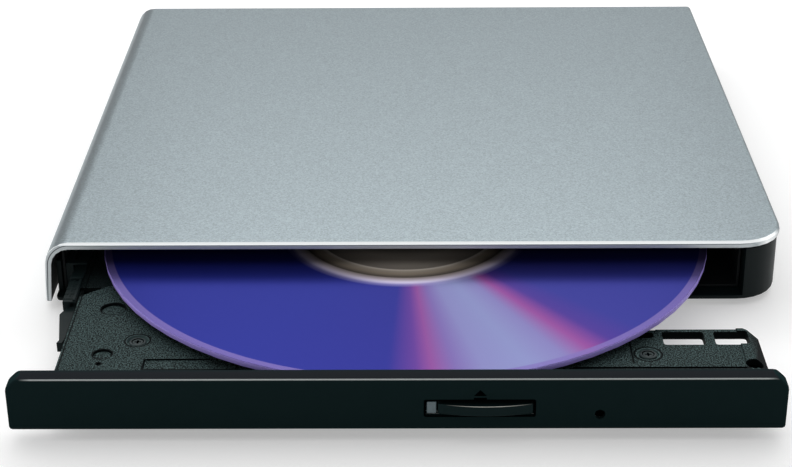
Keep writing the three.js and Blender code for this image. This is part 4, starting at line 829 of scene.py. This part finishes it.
def cross_turns(arm):
    """Angles round a screw, with the corners of its cross among them."""
    inner = math.atan2(arm * CROSS["half_width"], arm)
    turns = {2 * math.pi * index / CROSS["steps"] for index in range(CROSS["steps"])}
    for quarter in range(4):
        start = quarter * math.pi / 2
        turns.update((start + inner, start + math.pi / 4, start + math.pi / 2 - inner))
    return sorted(turns)


def cross_radius(turn, arm):
    """How far a plus sign reaches from its middle at an angle."""
    half_width = arm * CROSS["half_width"]
    reach = 0.0
    for along, aside in ((math.cos(turn), math.sin(turn)), (math.sin(turn), math.cos(turn))):
        ends = [size / abs(part) for size, part in ((arm, along), (half_width, aside)) if abs(part) > 1e-9]
        reach = max(reach, min(ends))
    return reach


def draw_screw(mesh, x, y, face, end, way, screw):
    """A screw from its head's face to its end. Way is 1 where the face looks up, and -1 where down."""
    head, height, shank, depth, arm, bowl = screw.values()
    turns = cross_turns(arm)

    def ring(z, radius):
        return [(x + radius * math.cos(turn), y + radius * math.sin(turn), z) for turn in turns]

    def cross(z, share):
        reaches = [(turn, cross_radius(turn, arm) * share) for turn in turns]
        return [(x + reach * math.cos(turn), y + reach * math.sin(turn), z) for turn, reach in reaches]

    below = face - way * height
    edge = min(HEAD_ROUND, height / 3)
    dish = face - way * min(BOWL["depth"], depth / 3)
    thread = []
    for row in range(1, THREAD["rows"]):
        radius = shank if row % 2 else shank * THREAD["root"]
        thread.append(ring(end + (below - end) * (row / THREAD["rows"]), radius))
    skin(mesh, [
        [(x, y, end)],
        ring(end, shank * THREAD["end"]),
        *thread,
        ring(below, shank),
        ring(below, head),
        ring(face - way * edge, head),
        ring(face - way * edge / 3, head - edge * 0.6),
        ring(face, head - edge * 1.5),
        ring(face, bowl),
        ring(dish, bowl * BOWL["floor"]),
        cross(dish, 1),
        cross(face - way * depth, CROSS["taper"]),
        [(x, y, face - way * depth * CROSS["tip"])],
    ])
    # The cross and the dish's sides take the second slot, black ink: painted shade in the recess
    for side in mesh.faces:
        middle = side.calc_center_median()
        sunk = way * (face - middle.z)
        inside = math.hypot(middle.x - x, middle.y - y) < bowl
        on_floor = abs(sunk - way * (face - dish)) < SAME_LEVEL
        if inside and not on_floor and 2 * SAME_LEVEL < sunk < depth * 1.2:
            side.material_index = 1


def add_screw(node, body, finish, screw, way):
    low, high = corners(node)
    x, y = (low.x + high.x) / 2, (low.y + high.y) / 2
    face, end = (high.z, low.z) if way > 0 else (low.z, high.z)

    def build(mesh):
        draw_screw(mesh, x, y, face, end, way, screw)

    add_detail(f"{node}_detail", body, [finish, "mark"], build, replaces=(node,))


def add_screws():
    for node in ("case_screw_front_right", "case_screw_rear_right", "case_screw_rear_left"):
        add_screw(node, "case", "dark_steel", CASE_SCREW, -1)
    for node in ("tray_screw_left", "tray_screw_right"):
        add_screw(node, "tray", "black_screw", TRAY_SCREW, 1)


# Wave is how steeply the thread rises, and plain is the length without thread at each end
LEAD = {
    "pitch": 1.5,
    "core": 0.72,
    "crest": 0.9,
    "wave": 0.9,
    "plain": 1.2,
    "steps": 24,
    "rows_per_turn": 10,
}


def add_lead_screw():
    """The sled's lead screw with its two-start thread."""
    low, high = corners("lead_screw")
    edge = LEAD["crest"] * math.sqrt(0.5)
    start = Vector((high.x - edge, low.y + edge, (low.z + high.z) / 2))
    end = Vector((low.x + edge, high.y - edge, start.z))
    along = (end - start).normalized()
    aside = Vector((-along.y, along.x, 0))
    up = Vector((0, 0, 1))
    length = (end - start).length
    rows = int(length / LEAD["pitch"] * LEAD["rows_per_turn"])

    def radius(distance, turn):
        if distance < LEAD["plain"] or distance > length - LEAD["plain"]:
            return LEAD["core"]
        wave = math.cos(2 * math.pi * distance / LEAD["pitch"] - 2 * turn)
        share = min(max(0.5 + LEAD["wave"] * wave, 0), 1)
        return LEAD["core"] + (LEAD["crest"] - LEAD["core"]) * share

    def build(mesh):
        rings = [[start]]
        for row in range(rows + 1):
            distance = length * row / rows
            ring = []
            for step in range(LEAD["steps"]):
                turn = 2 * math.pi * step / LEAD["steps"]
                out = (aside * math.cos(turn) + up * math.sin(turn)) * radius(distance, turn)
                ring.append(start + along * distance + out)
            rings.append(ring)
        rings.append([end])
        skin(mesh, rings)

    add_detail("lead_screw_thread", "lead_screw", ["steel"], build, replaces=("lead_screw",))


# How far ink and painted shade stand out from the drawer front, and how far they reach into it
INK_AND_SHADE = {"proud": 0.012, "sunk": 0.05}
MARK = {"middle": 11.45, "half": 1.1, "bar": (8.15, 8.6), "tip": (8.95, 10.15)}


def add_eject_mark():
    """The plain eject sign over the button: a triangle above a bar."""
    front = corners("bezel")[0].y

    def build(mesh):
        left, right = MARK["middle"] - MARK["half"], MARK["middle"] + MARK["half"]
        low, high = MARK["bar"]
        foot, tip = MARK["tip"]
        depth = (front - INK_AND_SHADE["proud"], front + INK_AND_SHADE["sunk"])
        plate(mesh, [(left, low), (right, low), (right, high), (left, high)], *depth)
        plate(mesh, [(left, foot), (right, foot), (MARK["middle"], tip)], *depth)

    add_detail("eject_mark", "tray", ["mark"], build)


BUTTON_GAP_SHADOW = {
    "low": (1.8, 4.8),
    "high": (20.95, 8.25),
    "width": 0.3,
    "corner": 0.4,
    "inner_corner": 0.22,
    "depth": 0.05,
}
CORNER_STEPS = 6


def rounded(low, high, corner):
    """Points of a rectangle with round corners."""
    points = []
    middles = (
        (high[0] - corner, high[1] - corner),
        (low[0] + corner, high[1] - corner),
        (low[0] + corner, low[1] + corner),
        (high[0] - corner, low[1] + corner),
    )
    for quarter, (x, y) in enumerate(middles):
        for step in range(CORNER_STEPS + 1):
            turn = math.pi / 2 * (quarter + step / CORNER_STEPS)
            points.append((x + corner * math.cos(turn), y + corner * math.sin(turn)))
    return points


def add_button_gap_shadow():
    """A black ring round the slot that the button and the indicator sit in: painted shadow of the gap round
    them.
    """
    front = corners("bezel")[0].y - INK_AND_SHADE["proud"]
    back = front + BUTTON_GAP_SHADOW["depth"]
    low, high, width = BUTTON_GAP_SHADOW["low"], BUTTON_GAP_SHADOW["high"], BUTTON_GAP_SHADOW["width"]

    def build(mesh):
        outer = rounded(low, high, BUTTON_GAP_SHADOW["corner"])
        inner_low = (low[0] + width, low[1] + width)
        inner_high = (high[0] - width, high[1] - width)
        inner = rounded(inner_low, inner_high, BUTTON_GAP_SHADOW["inner_corner"])
        loops = [(outer, back), (outer, front), (inner, front), (inner, back)]
        skin(mesh, [[(x, y, z) for x, z in outline] for outline, y in loops], closed=True)

    add_detail("button_gap_shadow", "tray", ["mark"], build)


# The dimple's radius is a share of the cup's
CORNER_CUP = {"x": 60.4, "y": -77.2, "radius": 2.3, "low": 5.1, "high": 5.75}
DIMPLE = {"share": 0.4, "depth": 0.3}


def add_corner_cup():
    """The closed bottom of the round hole in the tray's corner."""
    x, y, radius = CORNER_CUP["x"], CORNER_CUP["y"], CORNER_CUP["radius"]
    low, high = CORNER_CUP["low"], CORNER_CUP["high"]
    dimple = radius * DIMPLE["share"]
    bottom = high - DIMPLE["depth"]

    def build(mesh):
        levels = [(0, low), (radius, low), (radius, high), (dimple, high), (dimple, bottom), (0, bottom)]
        skin(mesh, [circle(x, y, z, reach) for reach, z in levels])

    # Drawn in black ink: painted shade in the hole
    add_detail("corner_cup", "tray", ["mark"], build)


PIN_GUIDE = {"x": 31.9, "z": 5.27, "front": -90.93, "back": -89.4, "outer": 1.25, "inner": 0.97, "wall": 0.4}


def add_pin_guide():
    """The cup behind the pin hole, which leads a pin to the release lever."""
    x, z, front, back, outer, inner, wall = PIN_GUIDE.values()

    def build(mesh):
        floor = back - wall
        profile = [(0, back), (outer, back), (outer, front), (inner, front), (inner, floor), (0, floor)]
        rings = [(circle(x, z, 0, radius), y) for radius, y in profile]
        skin(mesh, [[(across, y, up) for across, up, _ in ring] for ring, y in rings])

    # Drawn in black ink: painted shade behind the pin hole
    add_detail("pin_guide", "tray", ["mark"], build)


# Two corners each of the stop, the ridge that runs forward from it and the low ridge beside that
RAIL_CATCH = [
    ((-66.3, -46.4, 7.15), (-63.98, -45.7, 7.75)),
    ((-64.45, -54.8, 7.15), (-63.98, -46.3, 7.5)),
    ((-65.6, -53.6, 7.15), (-65.2, -46.3, 7.3)),
]
RAIL_CATCH_ROUNDING = 0.08


def add_rail_catch():
    """The stop and the ridges on the left rail's top, which show in front of the lid."""

    def build(mesh):
        for low, high in RAIL_CATCH:
            block(mesh, low, high)

    add_detail("left_rail_catch", "left_rail", ["rail"], build, RAIL_CATCH_ROUNDING)


# Contacts under the tongue: half width, how far they stand out below it and behind its inner end, how far
# they end before its mouth, how deep they lie in it, and the bent end's near side and top
CONTACT = {
    "count": 5,
    "pitch": 0.8,
    "half": 0.2,
    "below": 0.06,
    "behind": 0.6,
    "mouth": 0.5,
    "sunk": 0.02,
    "bend": 0.4,
    "rise": 0.3,
}


def add_usb_contacts():
    """The row of contacts under the USB tongue."""
    low, high = corners("usb_tongue")
    middle = (low.x + high.x) / 2
    half_row = CONTACT["count"] // 2

    def build(mesh):
        for place in range(-half_row, half_row + 1):
            x = middle + CONTACT["pitch"] * place
            left, right = x - CONTACT["half"], x + CONTACT["half"]
            start = (left, low.y - CONTACT["behind"], low.z - CONTACT["below"])
            block(mesh, start, (right, high.y - CONTACT["mouth"], low.z + CONTACT["sunk"]))
            block(mesh, start, (right, low.y - CONTACT["bend"], low.z + CONTACT["rise"]))

    add_detail("usb_contacts", "case", ["gold"], build)


# Gull-wing legs of chips: where their three parts begin and end outwards from the chip's side
LEG = {
    "shoulder": (-0.05, 0.28),
    "stem": (0.2, 0.34),
    "foot": (0.2, 0.55),
    "pitch": 0.8,
    "half_width": 0.15,
    "thickness": 0.14,
    "margins": 0.6,
}
# Chip, its board, which of that's faces it sits on (0 below, 1 above), and body
CHIPS = [
    ("main_chip", "main_board", 0, "tray"),
    ("memory_chip", "main_board", 0, "tray"),
    ("bridge_chip", "rear_board", 1, "case"),
]


def draw_legs(mesh, low, high, board):
    """Legs on all four sides of a chip, down or up to its board's face."""
    middle = (low.z + high.z) / 2
    half = LEG["thickness"] / 2
    parts = (
        (LEG["shoulder"], (middle - half, middle + half)),
        (LEG["stem"], sorted((board, middle))),
        (LEG["foot"], sorted((board, board + math.copysign(LEG["thickness"], middle - board)))),
    )
    for axis in (0, 1):
        other = 1 - axis
        count = int((high[other] - low[other] - LEG["margins"]) / LEG["pitch"])
        start = (low[other] + high[other] - (count - 1) * LEG["pitch"]) / 2
        for index in range(count):
            aside = start + index * LEG["pitch"]
            for side, sign in ((low[axis], -1), (high[axis], 1)):
                for span, tall in parts:
                    first, last = [0, 0, tall[0]], [0, 0, tall[1]]
                    first[axis], last[axis] = sorted(side + sign * step for step in span)
                    first[other], last[other] = aside - LEG["half_width"], aside + LEG["half_width"]
                    block(mesh, first, last)


def add_chip_legs():
    for chip, board, side, body in CHIPS:
        low, high = corners(chip)
        face = corners(board)[side].z

        def build(mesh):
            draw_legs(mesh, low, high, face)

        add_detail(f"{chip}_legs", body, ["tin"], build)


# Small parts on the boards: middle, length along X, length along Y, height
REAR_PARTS = [
    (-14, 86.9, 1.6, 0.8, 0.5), (-14, 88.6, 1.6, 0.8, 0.5), (-17.5, 87.4, 0.8, 1.6, 0.5),
    (3, 86.2, 1.6, 0.8, 0.5), (3, 88, 1.6, 0.8, 0.5), (7, 86.9, 2, 1.2, 0.7),
    (10.5, 87.4, 0.8, 1.6, 0.5), (14, 86.4, 3.2, 1.6, 0.9), (38.6, 88.4, 0.8, 1.6, 0.5),
    (54, 87, 1.6, 0.8, 0.5), (54, 88.8, 1.6, 0.8, 0.5), (-30, 87, 3.2, 1.6, 0.9),
]
MAIN_PARTS = [
    (-24, -70, 0.8, 1.6, 0.5), (-24, -66, 0.8, 1.6, 0.5), (-5, -70, 0.8, 1.6, 0.5),
    (-2.4, -70, 0.8, 1.6, 0.5), (-5, -66, 0.8, 1.6, 0.5), (-2, -66, 1.6, 0.8, 0.5),
    (-14, -60.6, 1.6, 0.8, 0.5), (-11, -60.6, 1.6, 0.8, 0.5), (13.4, -70, 0.8, 1.6, 0.5),
    (13.4, -66.6, 0.8, 1.6, 0.5), (17, -69, 2, 1.2, 0.7), (20.6, -67, 3.2, 1.6, 0.9),
    (-32, -69, 3.2, 1.6, 0.9), (-32, -65, 3.2, 1.6, 0.9), (-37, -67, 1.2, 2, 0.7),
]
# How far a part's metal ends stand out round its body, how far they stand above and below it, and the share
# of its length that each takes
PART_END = {"around": 0.02, "above": 0.03, "share": 0.22}


def draw_board_part(mesh, face, way, x, y, long, wide, height):
    """A small part on a board's face, which looks up where way is 1 and down where it is -1."""
    around, above = PART_END["around"], PART_END["above"]
    left, right = x - long / 2, x + long / 2
    front, back = y - wide / 2, y + wide / 2
    bottom, top = sorted((face, face + way * height))
    block(mesh, (left, front, bottom + above), (right, back, top - above))
    axis = 0 if long > wide else 1
    for sign in (-1, 1):
        low = [left - around, front - around, bottom]
        high = [right + around, back + around, top]
        inner = (x, y)[axis] + sign * (long, wide)[axis] * (0.5 - PART_END["share"])
        (low if sign > 0 else high)[axis] = inner
        block(mesh, low, high, 1)


def add_board_parts():
    for name, body, parts, face, way in (
        ("rear_board_parts", "case", REAR_PARTS, corners("rear_board")[1].z, 1),
        ("main_board_parts", "tray", MAIN_PARTS, corners("main_board")[0].z, -1),
    ):

        def build(mesh):
            for part in parts:
                draw_board_part(mesh, face, way, *part)

        add_detail(name, body, ["part", "tin"], build)


def add_details():
    add_screws()
    add_lead_screw()
    add_eject_mark()
    add_button_gap_shadow()
    add_corner_cup()
    add_pin_guide()
    add_rail_catch()
    add_usb_contacts()
    add_chip_legs()
    add_board_parts()


# Floor, backdrop and lights

SKY = {"toward": (-0.1, 0.55, 0.83), "from": 0.25, "to": 1.0, "dim": 0.07, "bright": 1.3}

# Place and size in metres and power in watts of each lamp. All of them look at the origin.
LAMPS = {
    "side": ((-1.0, 0.1, 0.45), (1.2, 0.4), 2.2),
    "back": ((0.0, 0.55, 0.55), (1.6, 0.25), 2.4),
    "sheen": ((0.0, 0.9, 0.5), (0.45, 0.25), 0.4),
    "front": ((0.0, -0.9, 0.5), (0.8, 0.3), 1.0),
    "right": ((1.0, 0.1, 0.45), (0.7, 0.3), 1.2),
}


def add_floor():
    mesh = bmesh.new()
    bmesh.ops.create_grid(mesh, x_segments=2, y_segments=2, size=FLOOR["half_size"])
    data = bpy.data.meshes.new("floor")
    mesh.to_mesh(data)
    mesh.free()
    floor = bpy.data.objects.new("floor", data)
    data.materials.append(floor_material())
    bpy.context.collection.objects.link(floor)


def add_world():
    """A soft sky, brightest overhead and behind the drive; the camera and reflections see plain white."""
    world = bpy.data.worlds.new("studio")
    bpy.context.scene.world = world
    world.use_nodes = True
    tree = world.node_tree
    nodes, links = tree.nodes, tree.links
    sky = nodes["Background"]
    plain = nodes.new("ShaderNodeBackground")
    for background in (sky, plain):
        background.inputs["Color"].default_value = grey(1)
    way = nodes.new("ShaderNodeTexCoord").outputs["Generated"]
    toward = nodes.new("ShaderNodeVectorMath")
    toward.operation = "DOT_PRODUCT"
    toward.inputs[1].default_value = Vector(SKY["toward"]).normalized()
    links.new(way, toward.inputs[0])
    height = nodes.new("ShaderNodeMapRange")
    height.interpolation_type = "SMOOTHSTEP"
    for index, key in enumerate(("from", "to", "dim", "bright"), 1):
        height.inputs[index].default_value = SKY[key]
    links.new(toward.outputs["Value"], height.inputs[0])
    links.new(height.outputs[0], sky.inputs["Strength"])
    rays = nodes.new("ShaderNodeLightPath").outputs
    seen = rays[SEEN_RAYS[0]]
    for kind in SEEN_RAYS[1:]:
        either = nodes.new("ShaderNodeMath")
        either.operation = "MAXIMUM"
        links.new(seen, either.inputs[0])
        links.new(rays[kind], either.inputs[1])
        seen = either.outputs[0]
    choice = nodes.new("ShaderNodeMixShader")
    links.new(seen, choice.inputs[0])
    links.new(sky.outputs[0], choice.inputs[1])
    links.new(plain.outputs[0], choice.inputs[2])
    links.new(choice.outputs[0], nodes["World Output"].inputs["Surface"])


def add_lights():
    for name, (place, size, power) in LAMPS.items():
        data = bpy.data.lights.new(name, "AREA")
        data.shape = "RECTANGLE"
        data.size, data.size_y = size
        data.energy = power
        lamp = bpy.data.objects.new(name, data)
        lamp.location = place
        aim = Vector((0, 0, 0)) - Vector(place)
        lamp.rotation_euler = aim.to_track_quat("-Z", "Y").to_euler()
        bpy.context.collection.objects.link(lamp)


add_camera()
dress_cad()
add_details()
add_floor()
add_world()
add_lights()

bpy.context.scene.view_settings.view_transform = "Standard"
